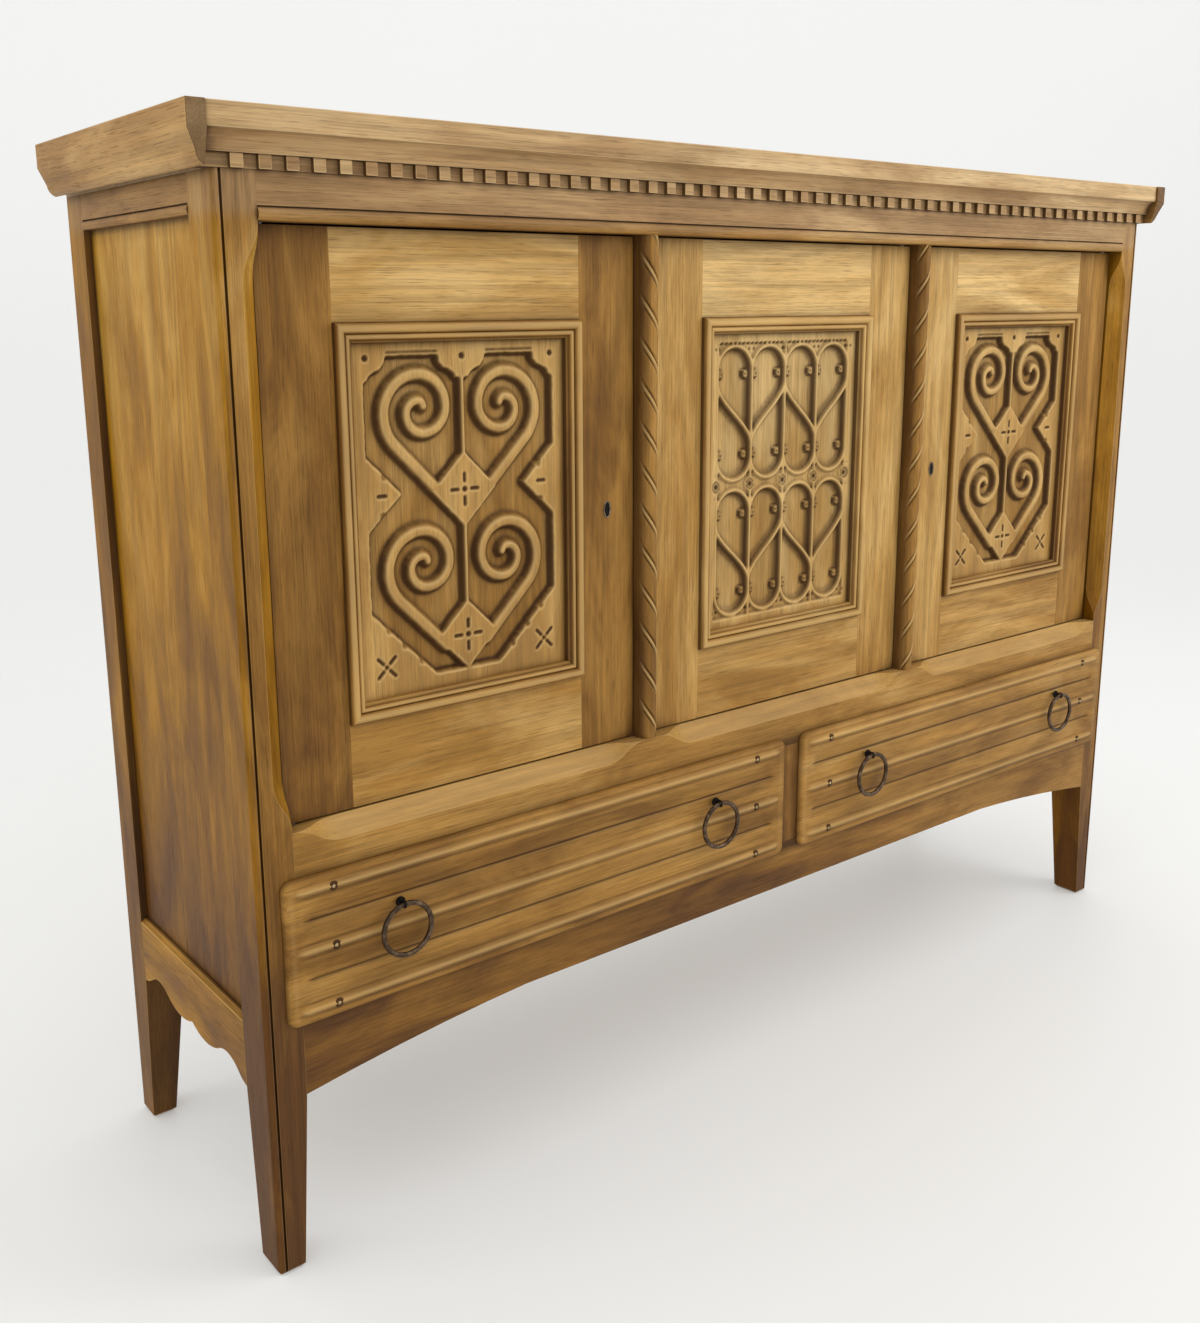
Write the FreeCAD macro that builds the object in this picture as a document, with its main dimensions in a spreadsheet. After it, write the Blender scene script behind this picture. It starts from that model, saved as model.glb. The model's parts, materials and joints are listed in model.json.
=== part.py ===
"""Oak highboard: carved doors between rope columns, lipped drawers, tapered legs. Millimetres, +Z up.

The origin is on the floor under the middle of the whole piece. +X runs to the right of someone who
faces it and +Y runs to its back.
"""
import FreeCAD, Part
import math
import os

import Sketcher

doc = FreeCAD.newDocument("highboard")

# Driving dimensions

SIZES = {
    "overall_width": 1700,
    "overall_depth": 450,
    "overall_height": 1264,
    "end_overhang": 31,
    "front_overhang": 25,
    # corner posts and legs
    "post_width": 45,
    "post_depth": 60,
    "rear_post_width": 52,
    "rear_post_depth": 50,
    "foot_width": 32,
    "foot_depth": 46,
    "rear_foot_depth": 36,
    "taper_top": 211,
    "foot_chamfer": 4,
    "corner_bead": 7,
    "quirk_width": 3,
    "quirk_depth": 4,
    "post_chamfer": 19,
    "chamfer_stop": 60,
    # front rails
    "rail_depth": 52,
    "frieze_height": 47,
    "frieze_bead": 12.5,
    "frieze_bead_proud": 4,
    "bead_quirk": 1.6,
    "bead_quirk_depth": 2.5,
    "sill_top": 525,
    "sill_height": 65,
    "sill_chamfer": 21,
    "apron_thickness": 24,
    "apron_top": 314,
    "apron_end": 214,
    "arch_rise": 32,
    "arch_run": 304,
    "arch_radius": 3000,
    "divider_width": 60,
    "tenon_length": 25,
    "tenon_thickness": 11,
    "tenon_front": 7,
    "tenon_shoulder": 8,
    # side frames and back
    "side_rail_thickness": 22,
    "side_rail_height": 40,
    "side_bead": 9.5,
    "side_bead_proud": 2,
    "side_recess": 9,
    "side_panel_thickness": 10,
    "groove_depth": 8,
    "skirt_top": 298.5,
    "skirt_end": 211.5,
    "skirt_cusp": 221.5,
    "skirt_bevel": 5,
    "lobe_reach": 77,
    "lobe_radius": 90,
    "ear_width": 23.5,
    "scallop_radius": 51,
    "ear_radius": 45,
    "back_rail_height": 60,
    "back_rail_thickness": 30,
    "back_panel_thickness": 6,
    # columns
    "column_width": 27,
    "rope_pitch": 51,
    "rope_groove": 4,
    "rope_groove_gap": 9,
    "rope_depth": 3,
    "rope_slope": 1.15,
    "column_tenon": 12,
    # top
    "top_thickness": 24,
    "top_front": 21,
    "batten_thickness": 20,
    "batten_depth": 58,
    "batten_flat": 27,
    "batten_chamfer": 15,
    "batten_nose": 9.5,
    "batten_round": 12,
    "cove_height": 20,
    "cove_out": 19,
    "cove_foot": 8,
    "cornice_back": 20,
    "dentil_height": 14,
    "dentil_out": 6.5,
    "dentil_ground": 1,
    "dentil_pitch": 29.1,
    "dentil_start": 35.3,
    "dentil_block": 14,
    # inside
    "floor_thickness": 16,
    "floor_drop": 2,
    "partition_thickness": 18,
    "shelf_height": 830,
    "shelf_thickness": 18,
    "cleat_height": 21,
    "cleat_width": 22,
    "fit_gap": 1,
    # doors
    "door_gap": 2,
    "door_recess": 22,
    "door_thickness": 27,
    "stop_gap": 0.5,
    "stop_depth": 10,
    "stop_lap": 8,
    "panel_width": 284,
    "panel_height": 394,
    "panel_ground": 15,
    "panel_thickness": 7,
    "moulding_width": 21,
    "moulding_proud": 10,
    "moulding_round": 5.7,
    "moulding_inner_round": 3.2,
    "moulding_step": 3.5,
    "moulding_fall": 3,
    "pivot_inset": 12,
    "pivot_depth": 6.5,
    "pivot_radius": 3.5,
    "pivot_embed": 25,
    "pivot_reach": 10,
    "bush_radius": 6.5,
    "bush_height": 12,
    "running_clearance": 0.05,
    "lock_height": 829,
    "lock_width": 52,
    "key_setback": 42,
    "lock_tall": 60,
    "lock_depth": 12,
    "bolt_length": 29,
    "bolt_tall": 18,
    "bolt_thickness": 6,
    "bolt_throw": 7,
    "bolt_clearance": 0.3,
    "escutcheon_width": 12,
    "escutcheon_tall": 22,
    "escutcheon_thickness": 1,
    "keyhole_radius": 2.5,
    "slide_bolt_length": 60,
    "slide_bolt_width": 10,
    "guide_margin": 6,
    # drawers
    "drawer_lip": 13.5,
    "drawer_end_lip": 19,
    "drawer_lip_thickness": 10,
    "drawer_block": 12,
    "drawer_seat_gap": 0.3,
    "drawer_clearance": 1.5,
    "drawer_corner": 9,
    "fold_depth": 3,
    "fold_end": 8,
    "fold_run": 20,
    "drawer_side_thickness": 12,
    "drawer_side_inset": 1.5,
    "drawer_side_height": 118,
    "drawer_back_gap": 39,
    "drawer_bottom_thickness": 6,
    "drawer_bottom_raise": 8,
    "drawer_groove": 6,
    "runner_width": 24,
    "runner_height": 20,
    "guide_height": 60,
    # rings and eyes
    "ring_radius": 30.5,
    "ring_wire": 2.6,
    "ring_spacing": 494,
    "ring_height": 415,
    "ring_stand_off": 9.4,
    "eye_clearance": 0.4,
    "eye_wire": 1.1,
    "eye_plate_radius": 6,
    "eye_plate_thickness": 2,
    # carved door panels
    "carve_relief": 8,
    "carve_border_side": 17,
    "carve_border_top": 15,
    "carve_diamond": 43,
    "carve_heart_step": 170,
    "carve_tip_sink": 3,
    "carve_stem": 9,
    "carve_bracket": 26,
    "carve_bracket_reach": 24,
    "carve_half_diamond": 43,
    "carve_corner": 81,
    "scroll_band": 13,
    "scroll_radius": 50.5,
    "scroll_tail_radius": 55.5,
    "scroll_side": 109,
    "scroll_above_diamond": 88.5,
    "cell_pitch": 64,
    "cell_rim": 5,
    "cell_margin": 13,
    "cell_row_gap": 12,
    "cell_curve_drop": 72,
    "cell_curve_top": 56,
}

sheet = doc.addObject("Spreadsheet::Sheet", "Sizes")
for row, (alias, value) in enumerate(SIZES.items(), start=1):
    sheet.set("A%d" % row, alias)
    sheet.set("B%d" % row, str(value))
    sheet.setAlias("B%d" % row, alias)
doc.recompute()

HALF_ROOT = math.sqrt(0.5)


class Size:
    """A length from the sheet: its value as built and the expression that keeps it bound."""

    def __init__(self, value, text):
        self.value = value
        self.text = text

    def __add__(self, other):
        other = sized(other)
        return Size(self.value + other.value, "(%s + %s)" % (self.text, other.text))

    def __sub__(self, other):
        other = sized(other)
        return Size(self.value - other.value, "(%s - %s)" % (self.text, other.text))

    def __mul__(self, other):
        other = sized(other)
        return Size(self.value * other.value, "(%s * %s)" % (self.text, other.text))

    def __truediv__(self, other):
        other = sized(other)
        return Size(self.value / other.value, "(%s / %s)" % (self.text, other.text))

    def __neg__(self):
        return Size(-self.value, "(0 - %s)" % self.text)

    def __radd__(self, other):
        return sized(other) + self

    def __rsub__(self, other):
        return sized(other) - self

    def __rmul__(self, other):
        return sized(other) * self


def sized(item):
    """Takes a plain number as a Size."""
    if isinstance(item, Size):
        return item
    return Size(float(item), "(%.9f)" % item)


def size(alias):
    """The Size of one cell of the sheet."""
    return Size(float(sheet.get(alias)), "Sizes." + alias)


# Planes and levels that several pieces share

half_width = size("overall_width") / 2
half_body = half_width - size("end_overhang")
rear = size("overall_depth") / 2
front = size("front_overhang") - rear
opening = half_body - size("post_width")
post_back = front + size("post_depth")
rear_post_front = rear - size("rear_post_depth")
overall_height = size("overall_height")
top_low = overall_height - size("top_thickness")
frame_top = top_low - size("cove_height") - size("dentil_height")
frieze_bottom = frame_top - size("frieze_height")
sill_top = size("sill_top")
sill_bottom = sill_top - size("sill_height")
apron_top = size("apron_top")
apron_tenon_low = size("apron_end") + size("arch_rise") + size("tenon_shoulder")
rail_back = front + size("rail_depth")
door_width = (opening - size("column_width")) * 2 / 3
column_x = opening - door_width - size("column_width") / 2
door_face = front + size("door_recess")
door_back = door_face + size("door_thickness")
column_back = door_back + size("stop_gap")
stop_back = column_back + size("stop_depth")
half_column = size("column_width") / 2
panel_front = door_face + size("panel_ground")
panel_back = panel_front + size("panel_thickness")
door_low = sill_top + size("door_gap")
door_high = frieze_bottom - size("door_gap")
panel_half_width = size("panel_width") / 2
panel_half_height = size("panel_height") / 2
door_stile = door_width / 2 - size("door_gap") - panel_half_width - size("moulding_width")
door_rail = (door_high - door_low) / 2 - panel_half_height - size("moulding_width")
pivot_y = door_face + size("pivot_depth")
back_rail_front = rear - size("back_rail_thickness")
back_panel_front = back_rail_front - size("back_panel_thickness")
side_inner = half_body - size("side_rail_thickness")
panel_outer = half_body - size("side_recess")
panel_inner = panel_outer - size("side_panel_thickness")
side_rail_low = frame_top - size("side_rail_height")
batten_inner = half_width - size("batten_thickness")
floor_top = sill_top - size("floor_drop")
floor_low = floor_top - size("floor_thickness")
tenon_low_y = front + size("tenon_front")
tenon_high_y = tenon_low_y + size("tenon_thickness")
side_tenon_high = half_body - size("tenon_shoulder")
side_tenon_low = side_tenon_high - size("side_panel_thickness")
drawer_side_low = apron_top + size("drawer_clearance") + size("drawer_side_inset")
runner_top = drawer_side_low - size("drawer_seat_gap")

pieces = {}


# Building helpers

AXIS_SIGN = {"XY_Plane": 1, "XZ_Plane": -1, "YZ_Plane": 1}


def new_body(label):
    """A body that is one piece of its own or one solid of a group."""
    body = doc.addObject("PartDesign::Body", label)
    body.Label = label
    return body


def origin_feature(body, role):
    """One of the body's own origin planes or axes."""
    return [item for item in body.Origin.OriginFeatures if item.Role == role][0]


def sketch_on(body, plane, offset, turn=None, base=None):
    """A sketch on an origin plane, moved along its normal, or turned about a base point."""
    sketch = body.newObject("Sketcher::SketchObject", body.Label + "_outline")
    sketch.AttachmentSupport = [(origin_feature(body, plane), "")]
    sketch.MapMode = "FlatFace"
    if turn is not None:
        sketch.AttachmentOffset = FreeCAD.Placement(FreeCAD.Vector(), turn)
    if base is None:
        base = (0, 0, AXIS_SIGN[plane] * sized(offset))
    for axis, part in zip("xyz", base):
        sketch.setExpression("AttachmentOffset.Base." + axis, sized(part).text)
    return sketch


def bind(sketch, constraint, item):
    """Adds a constraint whose value follows the sheet."""
    index = sketch.addConstraint(constraint)
    sketch.setExpression("Constraints[%d]" % index, item.text)


def arc_between(start, end, radius, left):
    """The shorter arc of the given radius, bending to the left or the right on its way."""
    chord = end - start
    middle = (start + end) * 0.5
    side = FreeCAD.Vector(-chord.y, chord.x, 0)
    side.normalize()
    reach = math.sqrt(max(radius ** 2 - chord.Length ** 2 / 4, 0))
    centre = middle + side * (reach if left else -reach)
    first, last = (start, end) if left else (end, start)
    first_angle = math.atan2(first.y - centre.y, first.x - centre.x)
    last_angle = math.atan2(last.y - centre.y, last.x - centre.x)
    circle = Part.Circle(centre, FreeCAD.Vector(0, 0, 1), radius)
    return Part.ArcOfCircle(circle, first_angle, last_angle)


def outline(sketch, points):
    """Draws a closed outline. A point is (u, v), or (u, v, radius, left) where an arc leads to it."""
    count = len(points)
    places = [(sized(point[0]), sized(point[1])) for point in points]
    flat = [FreeCAD.Vector(u.value, v.value, 0) for u, v in places]
    ends = []
    for index in range(count):
        after = (index + 1) % count
        if len(points[after]) == 2:
            item = sketch.addGeometry(Part.LineSegment(flat[index], flat[after]), False)
            ends.append((item, 1, 2))
            continue
        radius, left = sized(points[after][2]), points[after][3]
        arc = arc_between(flat[index], flat[after], radius.value, left)
        item = sketch.addGeometry(arc, False)
        ends.append((item, 1, 2) if left else (item, 2, 1))
        bind(sketch, Sketcher.Constraint("Radius", item, radius.value), radius)
    for index in range(count):
        item, start, _ = ends[index]
        before, _, last = ends[index - 1]
        u, v = places[index]
        sketch.addConstraint(Sketcher.Constraint("Coincident", before, last, item, start))
        bind(sketch, Sketcher.Constraint("DistanceX", -1, 1, item, start, u.value), u)
        bind(sketch, Sketcher.Constraint("DistanceY", -1, 1, item, start, v.value), v)


def ring_outline(sketch, u, v, radius):
    """Draws a full circle."""
    u, v, radius = sized(u), sized(v), sized(radius)
    circle = Part.Circle(FreeCAD.Vector(u.value, v.value, 0), FreeCAD.Vector(0, 0, 1), radius.value)
    item = sketch.addGeometry(circle, False)
    bind(sketch, Sketcher.Constraint("Radius", item, radius.value), radius)
    bind(sketch, Sketcher.Constraint("DistanceX", -1, 1, item, 3, u.value), u)
    bind(sketch, Sketcher.Constraint("DistanceY", -1, 1, item, 3, v.value), v)


def extrude(body, kind, sketch, length):
    """Pads or pockets a sketch equally to both sides of its plane."""
    feature = body.newObject("PartDesign::" + kind, body.Label + "_" + kind.lower())
    feature.Profile = sketch
    feature.SideType = "Symmetric"
    feature.setExpression("Length", sized(length).text)
    return feature


def prism(body, kind, plane, low, high, outlines=(), circles=()):
    """Pads or pockets outlines of one plane between two places along its normal."""
    low, high = sized(low), sized(high)
    sketch = sketch_on(body, plane, (low + high) / 2)
    for points in outlines:
        outline(sketch, points)
    for circle in circles:
        ring_outline(sketch, *circle)
    return extrude(body, kind, sketch, high - low)


def rectangle(u_low, u_high, v_low, v_high):
    """The four corners of a rectangle."""
    return [(u_low, v_low), (u_high, v_low), (u_high, v_high), (u_low, v_high)]


def mirrored(side, low, high):
    """A span along X on the right, or its mirror image on the left."""
    return (low, high) if side > 0 else (-high, -low)


def flip(side, points):
    """An outline drawn for the right side, or its mirror image for the left."""
    if side > 0:
        return points
    return [(-sized(p[0]), p[1]) + ((p[2], not p[3]) if len(p) > 2 else ()) for p in points]


def board(name, xs, ys, zs):
    """A plain board, square to the axes."""
    box = doc.addObject("Part::Box", name)
    box.Label = name
    spans = [(sized(low), sized(high)) for low, high in (xs, ys, zs)]
    for side, axis, (low, high) in zip(("Length", "Width", "Height"), "xyz", spans):
        box.setExpression(side, (high - low).text)
        box.setExpression("Placement.Base." + axis, low.text)
    return box


def dowel(name, radius, centre, length, axis="z"):
    """A round bar that starts at centre and runs along +Z or along +Y."""
    bar = doc.addObject("Part::Cylinder", name)
    bar.Label = name
    bar.setExpression("Radius", sized(radius).text)
    bar.setExpression("Height", sized(length).text)
    if axis == "y":
        bar.Placement = FreeCAD.Placement(FreeCAD.Vector(), FreeCAD.Rotation(FreeCAD.Vector(1, 0, 0), -90))
    for direction, place in zip("xyz", centre):
        bar.setExpression("Placement.Base." + direction, sized(place).text)
    return bar


def cut(name, base, *tools):
    """A board with grooves, mortises or holes taken out of it."""
    for index, tool in enumerate(tools):
        result = doc.addObject("Part::Cut", "%s_cut%d" % (name, index))
        result.Base = base
        result.Tool = tool
        base = result
    base.Label = name
    return base


def join(name, *parts):
    """Several shapes worked from one piece of material."""
    result = doc.addObject("Part::MultiFuse", name)
    result.Shapes = list(parts)
    result.Refine = True
    result.Label = name
    return result


def group(name, *parts):
    """Separate solids of one kind that share a node."""
    result = doc.addObject("Part::Compound", name)
    result.Links = list(parts)
    result.Label = name
    return result


def keep(name, item):
    """Marks a finished piece under the name of its file."""
    item.Label = name
    pieces[name] = item
    return item


SIDES = (("left", -1), ("right", 1))


# Corner posts and legs

def ogee_radius(run, depth):
    """Radius of the two equal arcs that step smoothly by depth over a run."""
    return (run * run + depth * depth) / (depth * 4)


def stopped_run(start, end, run, depth):
    """Outline of a chamfer along u, let in to depth and faded out by an ogee at both ends."""
    bend = ogee_radius(run, depth)
    half_run, half_depth, clear = run / 2, depth / 2, depth
    return [
        (start, 0),
        (start + half_run, half_depth, bend, True),
        (start + run, depth, bend, False),
        (end - run, depth),
        (end - half_run, half_depth, bend, False),
        (end, 0, bend, True),
        (end, -clear),
        (start, -clear),
    ]


def side_joints(body, side, low_y, high_y, groove_low_y, groove_high_y):
    """Mortises for the side rails and the groove for the side panel, in a post's inner edge."""
    xs = mirrored(side, side_tenon_low, side_tenon_high)
    shoulder = size("tenon_shoulder")
    prism(body, "Pocket", "XZ_Plane", low_y, high_y, [
        rectangle(*xs, side_rail_low + shoulder * 2, frame_top - shoulder),
        rectangle(*xs, size("skirt_end") + shoulder * 2, size("skirt_top") - shoulder * 2),
    ])
    xs = mirrored(side, panel_inner, panel_outer)
    groove = size("groove_depth")
    prism(body, "Pocket", "XZ_Plane", groove_low_y, groove_high_y, [
        rectangle(*xs, size("skirt_top") - groove, side_rail_low + groove),
    ])


def foot_edge(edge, way):
    """What the chamfer at the floor takes from a straight side of a leg, which lies along way."""
    cut_size, clear = size("foot_chamfer"), size("post_width")
    return [
        (edge, cut_size),
        (edge + cut_size * way, 0),
        (edge - clear * way, 0),
        (edge - clear * way, cut_size),
    ]


def leg_side(upper, lower, way):
    """What a leg's taper and its chamfer at the floor take from a side; the leg lies along way."""
    cut_size, clear = size("foot_chamfer"), size("post_width")
    return [
        (upper, size("taper_top")),
        (lower, cut_size),
        (lower + cut_size * way, 0),
        (upper - clear * way, 0),
        (upper - clear * way, size("taper_top")),
    ]


def front_post(name, side):
    """Corner post with a bead and quirk outside, a stopped chamfer inside and a tapered leg."""
    body = new_body("front_%s_post" % name)
    bead, quirk, sink = size("corner_bead"), size("quirk_width"), size("quirk_depth")
    prism(body, "Pad", "XY_Plane", 0, frame_top, [flip(side, [
        (half_body, front + bead, bead, True),
        (half_body, post_back),
        (opening, post_back),
        (opening, front),
        (half_body - bead - quirk, front),
        (half_body - bead - quirk, front + sink),
        (half_body - bead, front + sink),
        (half_body - bead, front),
    ])])
    clear = size("post_width")
    foot_back = front + size("foot_depth")
    prism(body, "Pocket", "XZ_Plane", front - clear, post_back + clear, [
        flip(side, leg_side(opening, half_body - size("foot_width"), 1)),
        flip(side, foot_edge(half_body, -1)),
    ])
    xs = mirrored(side, opening - clear, half_body + clear)
    prism(body, "Pocket", "YZ_Plane", *xs, [leg_side(post_back, foot_back, -1), foot_edge(front, 1)])
    shoulder = size("tenon_shoulder")
    prism(body, "Pocket", "YZ_Plane", *mirrored(side, opening, opening + size("tenon_length")), [
        rectangle(tenon_low_y, tenon_high_y, frieze_bottom + shoulder, frame_top - shoulder),
        rectangle(tenon_low_y, tenon_high_y, sill_bottom + shoulder, sill_top - shoulder * 3),
        rectangle(tenon_low_y, tenon_high_y, apron_tenon_low, apron_top - shoulder),
    ])
    side_joints(body, side, post_back - size("tenon_length"), post_back,
                post_back - size("groove_depth"), post_back)
    turn = FreeCAD.Rotation(FreeCAD.Vector(0, 1, 0), 45 if side > 0 else 135)
    sketch = sketch_on(body, "XZ_Plane", 0, turn, (side * opening, 0, -front))
    depth = size("post_chamfer") * HALF_ROOT
    along = stopped_run(sill_top, frieze_bottom, size("chamfer_stop"), depth)
    swapped = [(p[1], p[0]) + ((p[2], not p[3]) if len(p) > 2 else ()) for p in along]
    outline(sketch, swapped)
    extrude(body, "Pocket", sketch, size("post_chamfer") * 4)
    return keep(body.Label, body)


def rear_post(name, side):
    """Plain rear post that tapers into a leg."""
    body = new_body("rear_%s_post" % name)
    inner = half_body - size("rear_post_width")
    prism(body, "Pad", "XY_Plane", 0, frame_top,
          [rectangle(*mirrored(side, inner, half_body), rear_post_front, rear)])
    clear = size("post_width")
    foot_front = rear - size("rear_foot_depth")
    prism(body, "Pocket", "XZ_Plane", rear_post_front - clear, rear + clear, [
        flip(side, leg_side(inner, half_body - size("foot_width"), 1)),
        flip(side, foot_edge(half_body, -1)),
    ])
    prism(body, "Pocket", "YZ_Plane", *mirrored(side, inner - clear, half_body + clear),
          [leg_side(rear_post_front, foot_front, 1), foot_edge(rear, -1)])
    side_joints(body, side, rear_post_front, rear_post_front + size("tenon_length"),
                rear_post_front, rear_post_front + size("groove_depth"))
    return body


for side_name, side_sign in SIDES:
    front_post(side_name, side_sign)
rear_pair = [rear_post(side_name, side_sign) for side_name, side_sign in SIDES]
keep("rear_posts", group("rear_posts", *rear_pair))


# Front rails

hinge_x = {
    "left": -(opening - size("door_gap") - size("pivot_inset")),
    "centre": column_x - size("column_width") / 2 - size("door_gap") - size("pivot_inset"),
    "right": opening - size("door_gap") - size("pivot_inset"),
}
bush_hole = size("bush_radius") + size("running_clearance")
column_tenon_x = size("column_width") / 4
column_tenon_y = (rail_back - size("rail_depth") / 2, column_back - size("stop_gap") * 4)


def front_tenons(body, low, high):
    """Tenons at both ends of a front rail."""
    reach = opening + size("tenon_length")
    prism(body, "Pad", "YZ_Plane", -reach, reach, [rectangle(tenon_low_y, tenon_high_y, low, high)])


def rail_sockets(body, low, high, tenon_low, tenon_high):
    """Holes for the pivot bushes and mortises for the columns in a rail's edge."""
    prism(body, "Pocket", "XY_Plane", low, high,
          circles=[(x, pivot_y, bush_hole) for x in hinge_x.values()])
    prism(body, "Pocket", "XY_Plane", tenon_low, tenon_high, [
        rectangle(side * column_x - column_tenon_x, side * column_x + column_tenon_x, *column_tenon_y)
        for _, side in SIDES
    ])


def slide_bolt_x():
    """Middle of the slide bolt on the centre door's free stile."""
    return size("column_width") / 2 - column_x + size("door_gap") + door_stile / 2


bolt_back = door_back - size("guide_margin") / 2
bolt_front = bolt_back - size("bolt_thickness")


def frieze_rail():
    """Top rail with a bead along its lower edge and a quirk above the bead."""
    body = new_body("frieze_rail")
    bead, proud = size("frieze_bead"), size("frieze_bead_proud")
    quirk, sink = size("bead_quirk"), size("bead_quirk_depth")
    bend = (bead * bead / 4 + proud * proud) / (proud * 2)
    prism(body, "Pad", "YZ_Plane", -opening, opening, [[
        (front, frame_top),
        (front, frieze_bottom + bead + quirk),
        (front + sink, frieze_bottom + bead + quirk),
        (front + sink, frieze_bottom + bead),
        (front, frieze_bottom + bead),
        (front, frieze_bottom, bend, True),
        (rail_back, frieze_bottom),
        (rail_back, frame_top),
    ]])
    shoulder = size("tenon_shoulder")
    front_tenons(body, frieze_bottom + shoulder, frame_top - shoulder)
    rail_sockets(body, frieze_bottom, frieze_bottom + size("bush_height"),
                 frieze_bottom, frieze_bottom + size("column_tenon"))
    loose, half = size("bolt_clearance"), size("slide_bolt_width") / 2
    prism(body, "Pocket", "XY_Plane", frieze_bottom, frieze_bottom + size("column_tenon"), [rectangle(
        slide_bolt_x() - half - loose, slide_bolt_x() + half + loose,
        bolt_front - loose, bolt_back + loose)])
    return keep(body.Label, body)


def sill_rail():
    """Rail under the doors, with a stopped chamfer in front of each of them."""
    body = new_body("sill_rail")
    prism(body, "Pad", "YZ_Plane", -opening, opening, [rectangle(front, rail_back, sill_bottom, sill_top)])
    shoulder = size("tenon_shoulder")
    front_tenons(body, sill_bottom + shoulder, sill_top - shoulder * 3)
    rail_sockets(body, sill_top - size("bush_height"), sill_top,
                 sill_top - size("column_tenon"), sill_top)
    turn = FreeCAD.Rotation(FreeCAD.Vector(1, 0, 0), -45)
    sketch = sketch_on(body, "XY_Plane", 0, turn, (0, front, sill_top))
    depth, half = size("sill_chamfer") * HALF_ROOT, size("column_width") / 2
    edges = [-opening, -column_x - half, -column_x + half, column_x - half, column_x + half, opening]
    for start, end in zip(edges[::2], edges[1::2]):
        outline(sketch, stopped_run(start, end, size("chamfer_stop"), depth))
    extrude(body, "Pocket", sketch, size("sill_chamfer") * 4)
    return keep(body.Label, body)


def arched_apron():
    """Rail under the drawers whose lower edge falls to the posts by a long arc at both ends."""
    body = new_body("arched_apron")
    low, rise, run = size("apron_end"), size("arch_rise"), size("arch_run")
    bend = size("arch_radius")
    prism(body, "Pad", "XZ_Plane", front, front + size("apron_thickness"), [[
        (-opening, apron_top),
        (-opening, low),
        (-opening + run, low + rise, bend, False),
        (opening - run, low + rise),
        (opening, low, bend, False),
        (opening, apron_top),
    ]])
    front_tenons(body, apron_tenon_low, apron_top - size("tenon_shoulder"))
    return keep(body.Label, body)


frieze_rail()
sill_rail()
arched_apron()
half_divider = size("divider_width") / 2
divider_blank = board("divider_blank", (-half_divider, half_divider), (front, rail_back),
                      (apron_top, sill_bottom))
divider_lap = board("divider_lap", (-half_divider, half_divider),
                    (front + size("apron_thickness"), rail_back), (apron_top, runner_top))
keep("drawer_divider", cut("drawer_divider", divider_blank, divider_lap))


# Rope columns

def rope_column(name, side):
    """Half-round column with slanting pairs of grooves like a rope's strands, and a door stop behind."""
    body = new_body("%s_rope_column" % name)
    middle, half = side * column_x, size("column_width") / 2
    crest = front + half

    def section(radius):
        return [
            (middle + radius, crest, radius, True),
            (middle + radius, column_back),
            (middle - radius, column_back),
            (middle - radius, crest),
            (middle, crest - radius, radius, True),
        ]

    prism(body, "Pad", "XY_Plane", sill_top, frieze_bottom, [section(half)])
    lean, groove, gap = size("rope_slope"), size("rope_groove"), size("rope_groove_gap")
    strokes = []
    for first in (gap / 2, -gap / 2 - groove):
        low = sill_top + size("rope_pitch") / 2 + first
        climb = half * lean * side
        strokes.append([
            (middle - half, low - climb),
            (middle + half, low + climb),
            (middle + half, low + climb + groove),
            (middle - half, low - climb + groove),
        ])
    pocket = prism(body, "Pocket", "XZ_Plane", front - half, crest, strokes)
    doc.recompute()
    pattern = body.newObject("PartDesign::LinearPattern", body.Label + "_pattern")
    pattern.Originals = [pocket]
    pattern.Direction = (origin_feature(body, "Z_Axis"), [""])
    turns = math.floor((frieze_bottom - sill_top).value / size("rope_pitch").value)
    pattern.Occurrences = turns
    pattern.setExpression("Length", (size("rope_pitch") * (turns - 1)).text)
    body.Tip = pattern
    core = half - size("rope_depth")
    prism(body, "Pad", "XY_Plane", sill_top, frieze_bottom, [section(core)])
    reach = size("column_tenon")
    prism(body, "Pad", "XY_Plane", sill_top - reach, frieze_bottom + reach, [
        rectangle(middle - column_tenon_x, middle + column_tenon_x, *column_tenon_y)])
    lap = size("stop_lap")
    lean_side = half + lap if side < 0 else half / 2
    prism(body, "Pad", "XY_Plane", sill_top, frieze_bottom, [
        rectangle(middle - lean_side, middle + half + lap, column_back, stop_back)])
    loose, tall = size("bolt_clearance"), size("bolt_tall") / 2
    outer = middle + side * half
    inner = outer - side * (size("bolt_throw") + loose)
    low_x, high_x = (outer, inner) if side < 0 else (inner, outer)
    height = size("lock_height")
    prism(body, "Pocket", "YZ_Plane", low_x, high_x, [rectangle(
        bolt_front - loose, bolt_back + loose, height - tall - loose, height + tall + loose)])
    return keep(body.Label, body)


for side_name, side_sign in SIDES:
    rope_column(side_name, side_sign)


# Side frames

side_middle = (post_back + rear_post_front) / 2
side_half = (rear_post_front - post_back) / 2


def side_tenons(body, side, low, high):
    """Tenons at both ends of a side rail."""
    reach = size("tenon_length")
    prism(body, "Pad", "XZ_Plane", post_back - reach, rear_post_front + reach,
          [rectangle(*mirrored(side, side_tenon_low, side_tenon_high), low, high)])


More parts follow.
